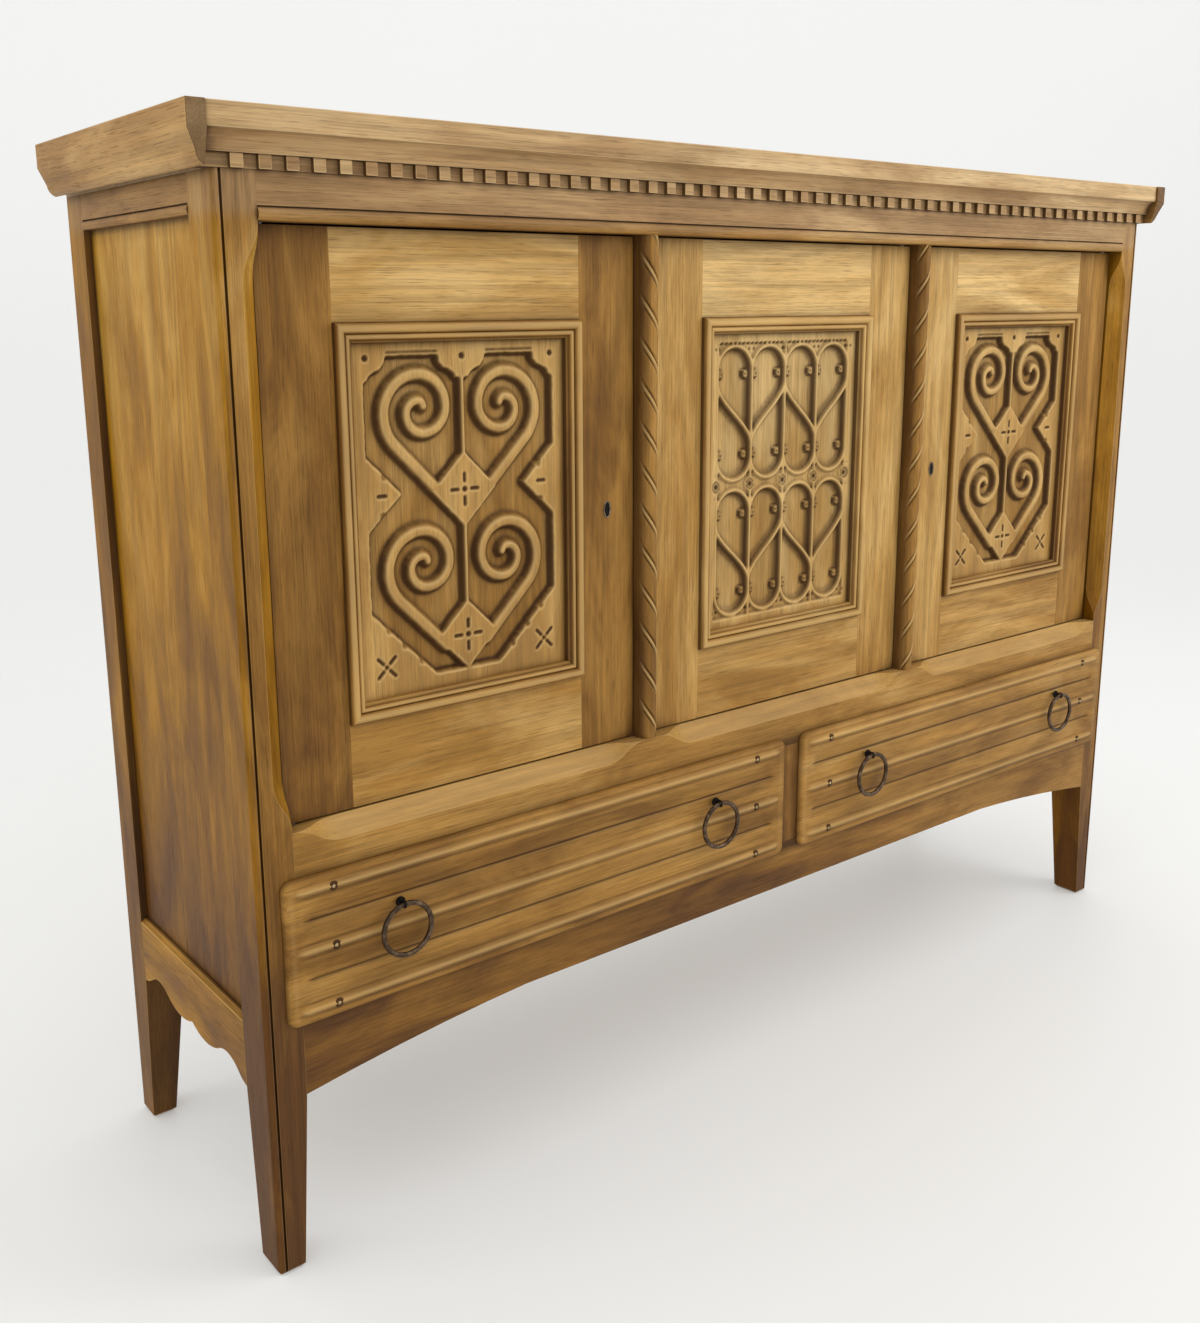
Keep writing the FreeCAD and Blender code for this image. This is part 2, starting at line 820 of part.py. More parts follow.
def side_top_rail(name, side):
    """Upper side rail with a bead and quirk on its lower edge and a groove for the panel."""
    body = new_body("%s_side_top_rail" % name)
    bead, proud = size("side_bead"), size("side_bead_proud")
    quirk, sink = size("bead_quirk"), size("bead_quirk_depth")
    bend = (bead * bead / 4 + proud * proud) / (proud * 2)
    groove = size("groove_depth")
    prism(body, "Pad", "XZ_Plane", post_back, rear_post_front, [flip(side, [
        (half_body, frame_top),
        (side_inner, frame_top),
        (side_inner, side_rail_low),
        (panel_inner, side_rail_low),
        (panel_inner, side_rail_low + groove),
        (panel_outer, side_rail_low + groove),
        (panel_outer, side_rail_low),
        (half_body, side_rail_low),
        (half_body, side_rail_low + bead, bend, True),
        (half_body - sink, side_rail_low + bead),
        (half_body - sink, side_rail_low + bead + quirk),
        (half_body, side_rail_low + bead + quirk),
    ])])
    shoulder = size("tenon_shoulder")
    side_tenons(body, side, side_rail_low + shoulder * 2, frame_top - shoulder)
    return body


def side_skirt(name, side):
    """Lower side rail with a scalloped edge: two lobes, two hollows and an ear at each post."""
    body = new_body("%s_side_skirt" % name)
    top, cusp, end = size("skirt_top"), size("skirt_cusp"), size("skirt_end")
    lobe, scallop = size("lobe_reach"), side_half - size("ear_width")
    lobe_bend, scallop_bend, ear_bend = size("lobe_radius"), size("scallop_radius"), size("ear_radius")
    xs = mirrored(side, side_inner, half_body)
    prism(body, "Pad", "YZ_Plane", *xs, [[
        (side_middle - side_half, top),
        (side_middle - side_half, end),
        (side_middle - scallop, cusp, ear_bend, True),
        (side_middle - lobe, cusp, scallop_bend, False),
        (side_middle, cusp, lobe_bend, True),
        (side_middle + lobe, cusp, lobe_bend, True),
        (side_middle + scallop, cusp, scallop_bend, False),
        (side_middle + side_half, end, ear_bend, True),
        (side_middle + side_half, top),
    ]])
    bevel, groove = size("skirt_bevel"), size("groove_depth")
    prism(body, "Pocket", "XZ_Plane", post_back, rear_post_front, [
        flip(side, [(half_body, top), (half_body - bevel, top), (half_body, top - bevel)]),
        rectangle(*mirrored(side, panel_inner, panel_outer), top - groove, top),
    ])
    side_tenons(body, side, end + size("tenon_shoulder") * 2, top - size("tenon_shoulder") * 2)
    return body


def side_panel(name, side):
    """Side panel with its four edges in the grooves of posts and rails."""
    tongue = size("groove_depth")
    return board("%s_side_panel" % name, mirrored(side, panel_inner, panel_outer),
                 (post_back - tongue, rear_post_front + tongue),
                 (size("skirt_top") - tongue, side_rail_low + tongue))


for group_name, make in (("side_top_rails", side_top_rail), ("side_skirts", side_skirt),
                         ("side_panels", side_panel)):
    keep(group_name, group(group_name, *[make(side_name, side_sign) for side_name, side_sign in SIDES]))


# Back

back_half = half_body - size("rear_post_width")
back_low = size("taper_top")
lower_back_rail = board("lower_back_rail", (-back_half, back_half), (back_rail_front, rear),
                        (back_low, back_low + size("back_rail_height")))
upper_back_rail = board("upper_back_rail", (-back_half, back_half), (back_rail_front, rear),
                        (frame_top - size("back_rail_height"), frame_top))
keep("back_rails", group("back_rails", lower_back_rail, upper_back_rail))
keep("back_panel", board("back_panel", (-back_half, back_half), (back_panel_front, back_rail_front),
                         (back_low, frame_top)))


# Top

def cornice_moulding():
    """Cove under the front edge of the top."""
    body = new_body("cornice_moulding")
    low = frame_top + size("dentil_height")
    back = front + size("cornice_back")
    bend = size("cove_height")
    prism(body, "Pad", "YZ_Plane", -batten_inner, batten_inner, [[
        (back, top_low),
        (front - size("cove_out"), top_low),
        (front - size("cove_foot"), low, bend, False),
        (back, low),
    ]])
    return keep(body.Label, body)


def dentil_strip():
    """Row of dentil blocks worked on one strip."""
    body = new_body("dentil_strip")
    low, high = frame_top, frame_top + size("dentil_height")
    ground, crest = front - size("dentil_ground"), front - size("dentil_out")
    prism(body, "Pad", "YZ_Plane", -batten_inner, batten_inner,
          [rectangle(ground, front + size("cornice_back"), low, high)])
    pitch, block = size("dentil_pitch"), size("dentil_block")
    start = size("dentil_start") - batten_inner
    count = 1 + math.floor((batten_inner - block - start).value / pitch.value)
    first = prism(body, "Pad", "YZ_Plane", start - block / 2, start + block / 2,
                  [rectangle(crest, ground, low, high)])
    doc.recompute()
    pattern = body.newObject("PartDesign::LinearPattern", "dentil_pattern")
    pattern.Originals = [first]
    pattern.Direction = (origin_feature(body, "X_Axis"), [""])
    pattern.Occurrences = count
    pattern.setExpression("Length", (pitch * (count - 1)).text)
    body.Tip = pattern
    return keep(body.Label, body)


def top_batten(name, side):
    """End batten of the top: its outer face is chamfered and rounded below, its nose is chamfered."""
    body = new_body("%s_top_batten" % name)
    low = overall_height - size("batten_depth")
    turn = overall_height - size("batten_flat")
    corner, soft = half_width - size("batten_chamfer"), size("batten_round")
    share = soft / (turn - low)
    prism(body, "Pad", "XZ_Plane", -rear, rear, [flip(side, [
        (batten_inner, overall_height),
        (batten_inner, low),
        (corner - soft / 4, low),
        (corner + size("batten_chamfer") * share, low + soft, soft * 1.2, True),
        (half_width, turn),
        (half_width, overall_height),
    ])])
    nose, clear = size("batten_nose"), size("batten_thickness")
    prism(body, "Pocket", "YZ_Plane", *mirrored(side, batten_inner - clear, half_width + clear), [[
        (-rear, turn),
        (-rear - clear, turn),
        (-rear - clear, low),
        (nose - rear, low),
    ]])
    return body


keep("top_board", board("top_board", (-batten_inner, batten_inner),
                        (front - size("top_front"), rear), (top_low, overall_height)))
cornice_moulding()
dentil_strip()
bearer_front = front + size("cornice_back")
bearers = []
battens = []
for side_name, side_sign in SIDES:
    battens.append(top_batten(side_name, side_sign))
    bearers.append(board("%s_bearer" % side_name, mirrored(side_sign, side_inner, half_body),
                         (bearer_front, rear), (frame_top, top_low)))
bearers.append(board("rear_bearer", (-side_inner, side_inner), (back_rail_front, rear),
                     (frame_top, top_low)))
keep("top_battens", group("top_battens", *battens))
keep("top_bearers", group("top_bearers", *bearers))


# Inside of the cabinet

def cabinet_floor():
    """Floor of the compartments, notched round the four posts."""
    body = new_body("cabinet_floor")
    right = [
        (opening, rail_back),
        (opening, post_back),
        (panel_inner, post_back),
        (panel_inner, rear_post_front),
        (back_half, rear_post_front),
        (back_half, back_panel_front),
    ]
    left = [(-x, y) for x, y in reversed(right)]
    prism(body, "Pad", "XY_Plane", floor_low, floor_top, [right + left])
    return keep(body.Label, body)


cabinet_floor()
half_partition = size("partition_thickness") / 2
keep("partition", board("partition", (column_x - half_partition, column_x + half_partition),
                        (stop_back, back_panel_front), (floor_top, top_low)))

shelf_gap = size("fit_gap")
shelf_low = size("shelf_height")
shelf_y = (post_back + shelf_gap, rear_post_front - shelf_gap)
shelf_ends = {
    "left": (-panel_inner, column_x - half_partition),
    "right": (column_x + half_partition, panel_inner),
}
shelves = []
cleats = []
for side_name, (shelf_start, shelf_end) in shelf_ends.items():
    shelves.append(board("%s_shelf" % side_name, (shelf_start + shelf_gap, shelf_end - shelf_gap), shelf_y,
                         (shelf_low, shelf_low + size("shelf_thickness"))))
    cleat_z = (shelf_low - size("cleat_height"), shelf_low)
    cleats.append(board("%s_cleat_a" % side_name, (shelf_start, shelf_start + size("cleat_width")),
                        (post_back, rear_post_front), cleat_z))
    cleats.append(board("%s_cleat_b" % side_name, (shelf_end - size("cleat_width"), shelf_end),
                        (post_back, rear_post_front), cleat_z))
keep("shelves", group("shelves", *shelves))
keep("shelf_cleats", group("shelf_cleats", *cleats))

bushes = []
for door_name, hinge in hinge_x.items():
    for level, place in (("low", sill_top - size("bush_height")), ("high", frieze_bottom)):
        bush_name = "%s_%s_bush" % (door_name, level)
        outside = dowel(bush_name + "_body", size("bush_radius"), (hinge, pivot_y, place),
                        size("bush_height"))
        bore = dowel(bush_name + "_bore", size("pivot_radius") + size("running_clearance"),
                     (hinge, pivot_y, place), size("bush_height"))
        bushes.append(cut(bush_name, outside, bore))
keep("pivot_bushes", group("pivot_bushes", *bushes))


# Doors

door_spans = {
    "left": (-opening, -column_x - half_column),
    "centre": (-column_x + half_column, column_x - half_column),
    "right": (column_x + half_column, opening),
}
moulding_low = door_low + door_rail
moulding_high = door_high - door_rail
panel_level = (moulding_low + moulding_high) / 2


def door_frame(name, low, high, lock_side):
    """Two stiles and two rails, grooved for the panel; the rails' stub tenons fill the groove's ends."""
    groove = size("groove_depth")
    thick = (door_face, door_back)
    tongue = (panel_front, panel_back)
    inner_low, inner_high = low + door_stile, high - door_stile
    hole = size("pivot_radius") + size("running_clearance")
    stiles = []
    for edge, start, end, inner in (("a", low, inner_low, inner_low - groove),
                                    ("b", inner_high, high, inner_high)):
        stile_name = "%s_door_stile_%s" % (name, edge)
        blank = board(stile_name, (start, end), thick, (door_low, door_high))
        tools = [board(stile_name + "_groove", (inner, inner + groove), tongue, (door_low, door_high))]
        on_hinge = (edge == "a") == (name == "left")
        if on_hinge:
            for place in (door_low, door_high - size("pivot_embed")):
                tools.append(dowel(stile_name + "_hole", hole, (hinge_x[name], pivot_y, place),
                                   size("pivot_embed")))
        else:
            tools += lock_mortise(name, stile_name, start, end, lock_side)
        stiles.append(cut(stile_name + "_done", blank, *tools))
    keep("%s_door_stiles" % name, group("%s_door_stiles" % name, *stiles))
    rails = []
    for edge, bottom, top, slot in (("low", door_low, moulding_low, moulding_low - groove),
                                    ("high", moulding_high, door_high, moulding_high)):
        rail_name = "%s_door_rail_%s" % (name, edge)
        blank = board(rail_name, (inner_low, inner_high), thick, (bottom, top))
        stub = board(rail_name + "_tenon", (inner_low - groove, inner_high + groove), tongue, (bottom, top))
        slot_box = board(rail_name + "_groove", (inner_low - groove, inner_high + groove), tongue,
                         (slot, slot + groove))
        rails.append(cut(rail_name + "_done", join(rail_name + "_blank", blank, stub), slot_box))
    keep("%s_door_rails" % name, group("%s_door_rails" % name, *rails))


def lock_place(start, end, lock_side):
    """Edge of the lock stile and the direction in which its bolt leaves it."""
    return (end, 1) if lock_side > 0 else (start, -1)


def lock_mortise(name, stile_name, start, end, lock_side):
    """What the free stile loses: the lock's mortise and keyhole, or the slide bolt's recess."""
    if lock_side == 0:
        half = size("slide_bolt_width") / 2 + size("guide_margin")
        low = door_high - size("slide_bolt_length") - size("guide_margin") * 2
        return [board(stile_name + "_recess", (slide_bolt_x() - half, slide_bolt_x() + half),
                      (bolt_front - size("bolt_clearance"), door_back), (low, door_high))]
    edge, way = lock_place(start, end, lock_side)
    xs = (edge - size("lock_width"), edge) if way > 0 else (edge, edge + size("lock_width"))
    tall = size("lock_tall") / 2
    height = size("lock_height")
    mortise = board(stile_name + "_mortise", xs, (door_back - size("lock_depth"), door_back),
                    (height - tall, height + tall))
    key_x = edge - size("key_setback") * way
    keyhole = dowel(stile_name + "_keyhole", size("keyhole_radius"), (key_x, door_face, height),
                    size("door_thickness") - size("lock_depth"), "y")
    return [mortise, keyhole]


def door_lock(name, start, end, lock_side):
    """Lock case with its channel, the bolt that slides in it, and the oval escutcheon."""
    edge, way = lock_place(start, end, lock_side)
    height, tall = size("lock_height"), size("lock_tall") / 2
    half_bolt, loose = size("bolt_tall") / 2, size("bolt_clearance")

    def from_edge(near, far):
        return (edge - far, edge - near) if way > 0 else (edge + near, edge + far)

    case = board("%s_lock_case" % name, from_edge(0, size("lock_width")),
                 (door_back - size("lock_depth"), door_back), (height - tall, height + tall))
    channel = board("%s_lock_channel" % name, from_edge(0, size("bolt_length") + loose * 2),
                    (bolt_front - loose, bolt_back + loose),
                    (height - half_bolt - loose, height + half_bolt + loose))
    keep("%s_door_lock" % name, cut("%s_door_lock" % name, case, channel))
    keep("%s_lock_bolt" % name, board("%s_lock_bolt" % name, from_edge(loose, size("bolt_length") + loose),
                                      (bolt_front, bolt_back), (height - half_bolt, height + half_bolt)))
    body = new_body("%s_door_escutcheon" % name)
    key_x = edge - size("key_setback") * way
    half_wide, half_tall = size("escutcheon_width") / 2, size("escutcheon_tall") / 2
    straight = half_tall - half_wide
    prism(body, "Pad", "XZ_Plane", door_face - size("escutcheon_thickness"), door_face, [[
        (key_x + half_wide, height - straight, half_wide, True),
        (key_x + half_wide, height + straight),
        (key_x, height + half_tall, half_wide, True),
        (key_x - half_wide, height + straight, half_wide, True),
        (key_x - half_wide, height - straight),
        (key_x, height - half_tall, half_wide, True),
    ]], [(key_x, height, size("keyhole_radius"))])
    keep(body.Label, body)


def slide_bolt():
    """Flush bolt on the centre door's free stile: a guide let into the stile and a bolt that rises."""
    middle, half = slide_bolt_x(), size("slide_bolt_width") / 2
    margin, loose = size("guide_margin"), size("bolt_clearance")
    low = door_high - size("slide_bolt_length") - margin * 2
    plate = board("bolt_plate", (middle - half - margin, middle + half + margin),
                  (bolt_front - loose, door_back), (low, door_high))
    channel = board("bolt_channel", (middle - half - loose, middle + half + loose),
                    (bolt_front - loose, bolt_back + loose), (low + margin, door_high))
    keep("centre_bolt_guide", cut("centre_bolt_guide", plate, channel))
    keep("centre_door_bolt", board("centre_door_bolt", (middle - half, middle + half),
                                   (bolt_front, bolt_back),
                                   (door_high - loose - size("slide_bolt_length"), door_high - loose)))


def door_moulding(name, middle):
    """Mitred moulding round the panel: a round, a quirk, a lower round and a fall to the panel."""
    body = new_body("%s_door_moulding" % name)
    wide, proud = size("moulding_width"), size("moulding_proud")
    half_wide, half_tall = panel_half_width + wide, panel_half_height + wide
    crest = door_face - proud
    spine = sketch_on(body, "XZ_Plane", panel_front)
    outline(spine, rectangle(middle - half_wide, middle + half_wide,
                             panel_level - half_tall, panel_level + half_tall))
    profile = sketch_on(body, "XY_Plane", panel_level)
    start = middle - half_wide
    outer, inner = size("moulding_round"), size("moulding_inner_round")
    quirk_x, inner_crest = start + outer * 2, crest + size("moulding_step")
    outline(profile, [
        (start, panel_front),
        (start, crest + outer),
        (start + outer, crest, outer, False),
        (quirk_x, crest + outer, outer, False),
        (quirk_x, inner_crest + inner),
        (quirk_x + inner, inner_crest, inner, False),
        (quirk_x + inner * 2, inner_crest + inner, inner, False),
        (start + wide, inner_crest + inner + size("moulding_fall")),
        (start + wide, panel_front),
    ])
    pipe = body.newObject("PartDesign::AdditivePipe", body.Label + "_pipe")
    pipe.Profile = profile
    pipe.Spine = spine
    pipe.Transition = "Right corner"
    return keep(body.Label, body)


def panel_blank(body, middle):
    """The panel's ground, with the tongue that fits the door frame's groove."""
    wide, groove = size("moulding_width"), size("groove_depth")
    half_wide, half_tall = panel_half_width + wide + groove, panel_half_height + wide + groove
    prism(body, "Pad", "XZ_Plane", panel_front, panel_back, [rectangle(
        middle - half_wide, middle + half_wide, panel_level - half_tall, panel_level + half_tall)])


# Radii of the scroll's quarter turns from its outside to its eye, as shares of the first
SCROLL_SHARES = (1, 0.83, 0.70, 0.53, 0.40, 0.24)


def scroll_band(middle, side, low_tip):
    """One half of a heart: a straight tail along the diamond's edge that winds into a scroll."""
    band, tail = size("scroll_band"), size("scroll_tail_radius")
    centre_z = low_tip + size("scroll_above_diamond") + size("carve_diamond")
    radii = [size("scroll_radius") * share for share in SCROLL_SHARES]
    centre = [size("scroll_side") - radii[0], centre_z]
    tail_centre = (size("scroll_side") - tail, centre_z)
    tail_outer = (tail_centre[0] + tail * HALF_ROOT, tail_centre[1] - tail * HALF_ROOT)
    tail_inner = (tail_centre[0] + (tail - band) * HALF_ROOT, tail_centre[1] - (tail - band) * HALF_ROOT)
    start = size("carve_diamond") / 2
    run = tail_outer[0] - start
    outer = [(start, tail_outer[1] - run), tail_outer]
    inner = [(tail_inner[0] - run, tail_inner[1] - run), tail_inner]
    outer.append((size("scroll_side"), centre_z, tail, True))
    inner.append((size("scroll_side") - band, centre_z, tail - band, True))
    ways = ((0, 1), (-1, 0), (0, -1), (1, 0))
    for index, radius in enumerate(radii):
        way = ways[index % 4]
        width = band - (band / 3) * ((index + 1) / len(radii))
        outer.append((centre[0] + radius * way[0], centre[1] + radius * way[1], radius, True))
        inner.append((centre[0] + (radius - width) * way[0], centre[1] + (radius - width) * way[1],
                      radius - width, True))
        if index + 1 < len(radii):
            step = radius - radii[index + 1]
            centre = [centre[0] + step * way[0], centre[1] + step * way[1]]
    back_way = [(inner[-1][0], inner[-1][1])]
    for index in range(len(inner) - 1, 0, -1):
        place = inner[index - 1]
        arc = (inner[index][2], False) if len(inner[index]) > 2 else ()
        back_way.append((place[0], place[1]) + arc)
    points = flip(side, outer + back_way)
    return [(middle + p[0],) + tuple(p[1:]) for p in points]


def carved_panel(name, middle):
    """Panel with two scrolled hearts on diamonds, inside a bracketed and notched border."""
    body = new_body("%s_door_panel" % name)
    panel_blank(body, middle)
    raised = (panel_front - size("carve_relief"), panel_front)
    half_wide, half_tall = panel_half_width, panel_half_height
    in_x, in_z = half_wide - size("carve_border_side"), half_tall - size("carve_border_top")
    diamond, stem = size("carve_diamond"), size("carve_stem") / 2
    low_tip = panel_level - in_z
    tips = [low_tip - size("carve_tip_sink"), low_tip + size("carve_heart_step")]
    bracket, reach = size("carve_bracket"), size("carve_bracket_reach")
    notch, corner = size("carve_half_diamond"), size("carve_corner")
    notch_z = tips[1] + diamond
    top_z = panel_level + in_z
    right = [
        (stem, top_z - bracket),
        (stem + reach * 0.2, top_z - bracket),
        (stem + reach, top_z - bracket * 0.3),
        (stem + reach, top_z),
        (in_x - reach, top_z),
        (in_x - reach, top_z - bracket * 0.3),
        (in_x - reach * 0.1, top_z - bracket),
        (in_x, top_z - bracket),
        (in_x, notch_z + notch),
        (in_x - notch, notch_z),
        (in_x, notch_z - notch),
        (in_x, low_tip + corner),
        (in_x - corner, low_tip),
    ]
    window = [(middle + x, z) for x, z in right] + [(middle - x, z) for x, z in reversed(right)]
    prism(body, "Pad", "XZ_Plane", *raised, [
        rectangle(middle - half_wide, middle + half_wide, panel_level - half_tall, panel_level + half_tall),
        window,
    ])
    prism(body, "Pad", "XZ_Plane", *raised, [rectangle(
        middle - stem, middle + stem, tips[0] + diamond, top_z - bracket / 2)])
    for tip in tips:
        prism(body, "Pad", "XZ_Plane", *raised, [[
            (middle, tip),
            (middle + diamond, tip + diamond),
            (middle, tip + diamond * 2),
            (middle - diamond, tip + diamond),
        ]])
    for side in (-1, 1):
        prism(body, "Pad", "XZ_Plane", *raised, [scroll_band(middle, side, tip) for tip in tips])
    return keep(body.Label, body)


def tracery_panel(name, middle):
    """Panel with two rows of round-ended lights, crossed by curved bars so that pairs make hearts."""
    body = new_body("%s_door_panel" % name)
    panel_blank(body, middle)
    raised = (panel_front - size("carve_relief"), panel_front)
    half_wide, half_tall = panel_half_width, panel_half_height
    pitch, rim, gap = size("cell_pitch"), size("cell_rim"), size("cell_row_gap")
    light = (pitch - rim) / 2
    lights = []
    bars = []
    row_top = half_tall - size("cell_margin")
    drop, bar = size("cell_curve_drop"), rim
    bend = (drop * drop + pitch * pitch) / (pitch * 4)
    for row in (0, 1):
        high = panel_level + row_top if row == 0 else panel_level - gap / 2
        low = panel_level + gap / 2 if row == 0 else panel_level - row_top
        for column in range(4):
            x = middle + pitch * (column - 1.5)
            lights.append([
                (x + light, low + light, light, True),
                (x + light, high - light),
                (x, high, light, True),
                (x - light, high - light, light, True),
                (x - light, low + light),
                (x, low, light, True),
            ])
            way = -1 if column % 2 == 0 else 1
            upper, lower = high - size("cell_curve_top"), high - size("cell_curve_top") - drop
            half_bar = bar / 2
            start, end = pitch / 2, -pitch / 2
            curve = [
                (start + half_bar, upper),
                (half_bar * 0.75, (upper + lower) / 2 - half_bar * 0.65, bend + half_bar, False),
                (end + half_bar, lower, bend - half_bar, True),
                (end - half_bar, lower),
                (half_bar * -0.75, (upper + lower) / 2 + half_bar * 0.65, bend + half_bar, False),
                (start - half_bar, upper, bend - half_bar, True),
            ]
            bars.append([(x + p[0],) + tuple(p[1:]) for p in flip(way, curve)])
    prism(body, "Pad", "XZ_Plane", *raised, [rectangle(
        middle - half_wide, middle + half_wide, panel_level - half_tall, panel_level + half_tall)] + lights)
    for first in (0, 1):
        prism(body, "Pad", "XZ_Plane", *raised, bars[first::2])
    return keep(body.Label, body)


LOCK_SIDES = {"left": 1, "centre": 0, "right": -1}

for door_name, (door_start, door_end) in door_spans.items():
    door_start, door_end = door_start + size("door_gap"), door_end - size("door_gap")
    door_middle = (door_start + door_end) / 2
    door_frame(door_name, door_start, door_end, LOCK_SIDES[door_name])
    door_moulding(door_name, door_middle)
    pins = []
    pin_length = size("pivot_embed") + size("door_gap") + size("pivot_reach")
    low_pin = door_low - size("door_gap") - size("pivot_reach")
    for level, pin_z in (("low", low_pin), ("high", door_high - size("pivot_embed"))):
        pins.append(dowel("%s_%s_pin" % (door_name, level), size("pivot_radius"),
                          (hinge_x[door_name], pivot_y, pin_z), pin_length))
    keep("%s_door_pivots" % door_name, group("%s_door_pivots" % door_name, *pins))
    if door_name == "centre":
        tracery_panel(door_name, door_middle)
        slide_bolt()
        continue
    carved_panel(door_name, door_middle)
    if door_name == "left":
        door_lock(door_name, door_end - door_stile, door_end, LOCK_SIDES[door_name])
    else:
        door_lock(door_name, door_start, door_start + door_stile, LOCK_SIDES[door_name])


# Drawers

drawer_low = apron_top - size("drawer_lip")
drawer_high = sill_bottom + size("drawer_lip")
lip_back = front - size("drawer_seat_gap")
lip_front = lip_back - size("drawer_lip_thickness")
block_back = front + size("drawer_block")

# Height of each ridge and valley of the folded front, as shares of its height
FOLD_RIDGES = (0.095, 0.5, 0.905)
FOLD_VALLEYS = (0.30, 0.70)


def fold_section(sunk):
    """Section of a drawer front's lip: plain where sunk is 0, folded where it is 1."""
    tall = drawer_high - drawer_low
    depth = size("fold_depth") * sunk
    levels = [(0, lip_front + depth)]
    marks = sorted([(share, -1) for share in FOLD_RIDGES] + [(share, 1) for share in FOLD_VALLEYS])
    for share, way in marks:
        levels.append((share, lip_front + (depth if way > 0 else 0)))
    levels.append((1, lip_front + depth))
    face = [(y, drawer_low + tall * share) for share, y in levels]
    return face + [(lip_back, drawer_high), (lip_back, drawer_low)]


def drawer_front(name, start, end):
    """Lipped drawer front: folds that fade out before the ends, and a block that enters the opening."""
    body = new_body("%s_drawer_front" % name)
    margin, run = size("fold_end"), size("fold_run")
    places = [(start, 0), (start + margin, 0), (start + margin + run, 1),
              (end - margin - run, 1), (end - margin, 0), (end, 0)]
    sections = []
    for place, sunk in places:
        sketch = sketch_on(body, "YZ_Plane", place)
        outline(sketch, fold_section(sunk))
        sections.append(sketch)
    loft = body.newObject("PartDesign::AdditiveLoft", body.Label + "_loft")
    loft.Profile = sections[0]
    loft.Sections = sections[1:]
    loft.Ruled = True
    bend = size("drawer_corner")
    corners = []
    for x, way_x in ((start, 1), (end, -1)):
        for z, way_z in ((drawer_low, 1), (drawer_high, -1)):
            corners.append([
                (x, z),
                (x + bend * way_x, z),
                (x, z + bend * way_z, bend, way_x * way_z < 0),
            ])
    prism(body, "Pocket", "XZ_Plane", lip_front - bend, lip_back + bend, corners)
    return body


def drawer(name, side):
    """A lipped drawer on runners: front, two sides, back and bottom, with two forged eyes."""
    xs = (half_divider, opening)
    lip_start, lip_end = mirrored(side, xs[0] - size("drawer_lip"), xs[1] + size("drawer_end_lip"))
    loose = size("drawer_clearance")
    block_start, block_end = mirrored(side, xs[0] + loose, xs[1] - loose)
    body = drawer_front(name, lip_start, lip_end)
    bottom_low = drawer_side_low + size("drawer_bottom_raise")
    bottom_high = bottom_low + size("drawer_bottom_thickness")
    groove, thick = size("drawer_groove"), size("drawer_side_thickness")
    box_low, box_high = block_start + size("drawer_side_inset"), block_end - size("drawer_side_inset")
    floor_start, floor_end = box_low + thick - groove, box_high - thick + groove
    prism(body, "Pad", "XZ_Plane", lip_back, block_back, [rectangle(
        block_start, block_end, apron_top + loose, sill_bottom - loose)])
    prism(body, "Pocket", "XZ_Plane", block_back - groove, block_back, [rectangle(
        floor_start, floor_end, bottom_low, bottom_high)])
    for eye_x in eye_places(side):
        prism(body, "Pocket", "XZ_Plane", lip_front - size("eye_wire"), block_back,
              circles=[(eye_x, size("ring_height"), size("eye_wire") + size("running_clearance"))])
    keep(body.Label, body)
    box_back = back_panel_front - size("drawer_back_gap")
    side_high = drawer_side_low + size("drawer_side_height")
    walls = []
    for edge, start, inner in (("a", box_low, box_low + thick - groove),
                               ("b", box_high - thick, box_high - thick)):
        wall_name = "%s_drawer_side_%s" % (name, edge)
        wall = board(wall_name, (start, start + thick), (block_back, box_back),
                     (drawer_side_low, side_high))
        slot = board(wall_name + "_groove", (inner, inner + groove), (block_back, box_back),
                     (bottom_low, bottom_high))
        walls.append(cut(wall_name + "_done", wall, slot))
    walls.append(board("%s_drawer_back" % name, (box_low + thick, box_high - thick),
                       (box_back - thick, box_back), (bottom_high, side_high - thick)))
    keep("%s_drawer_walls" % name, group("%s_drawer_walls" % name, *walls))
    keep("%s_drawer_bottom" % name, board("%s_drawer_bottom" % name, (floor_start, floor_end),
                                          (block_back - groove, box_back), (bottom_low, bottom_high)))


def eye_places(side):
    """The two places along X of a drawer's rings."""
    lip_start, lip_end = mirrored(side, half_divider - size("drawer_lip"), opening + size("drawer_end_lip"))
    middle = (lip_start + lip_end) / 2
    return (middle - size("ring_spacing") / 2, middle + size("ring_spacing") / 2)


ring_y = lip_front - size("ring_stand_off")


def octagon(radius, u, v):
    """Eight-sided section of forged wire."""
    corner = math.pi / 8
    return [(u + radius * math.cos(corner * turn), v + radius * math.sin(corner * turn))
            for turn in range(1, 16, 2)]


def ring(name, x):
    """Ring of forged wire that hangs in its eye."""
    body = new_body(name)
    radius = size("ring_radius")
    sketch = sketch_on(body, "YZ_Plane", x, base=(ring_y, size("ring_height") - radius, x))
    outline(sketch, octagon(size("ring_wire"), 0, radius))
    turn = body.newObject("PartDesign::Revolution", name + "_turn")
    turn.Profile = sketch
    turn.ReferenceAxis = (sketch, ["H_Axis"])
    turn.Angle = 360
    return keep(name, body)


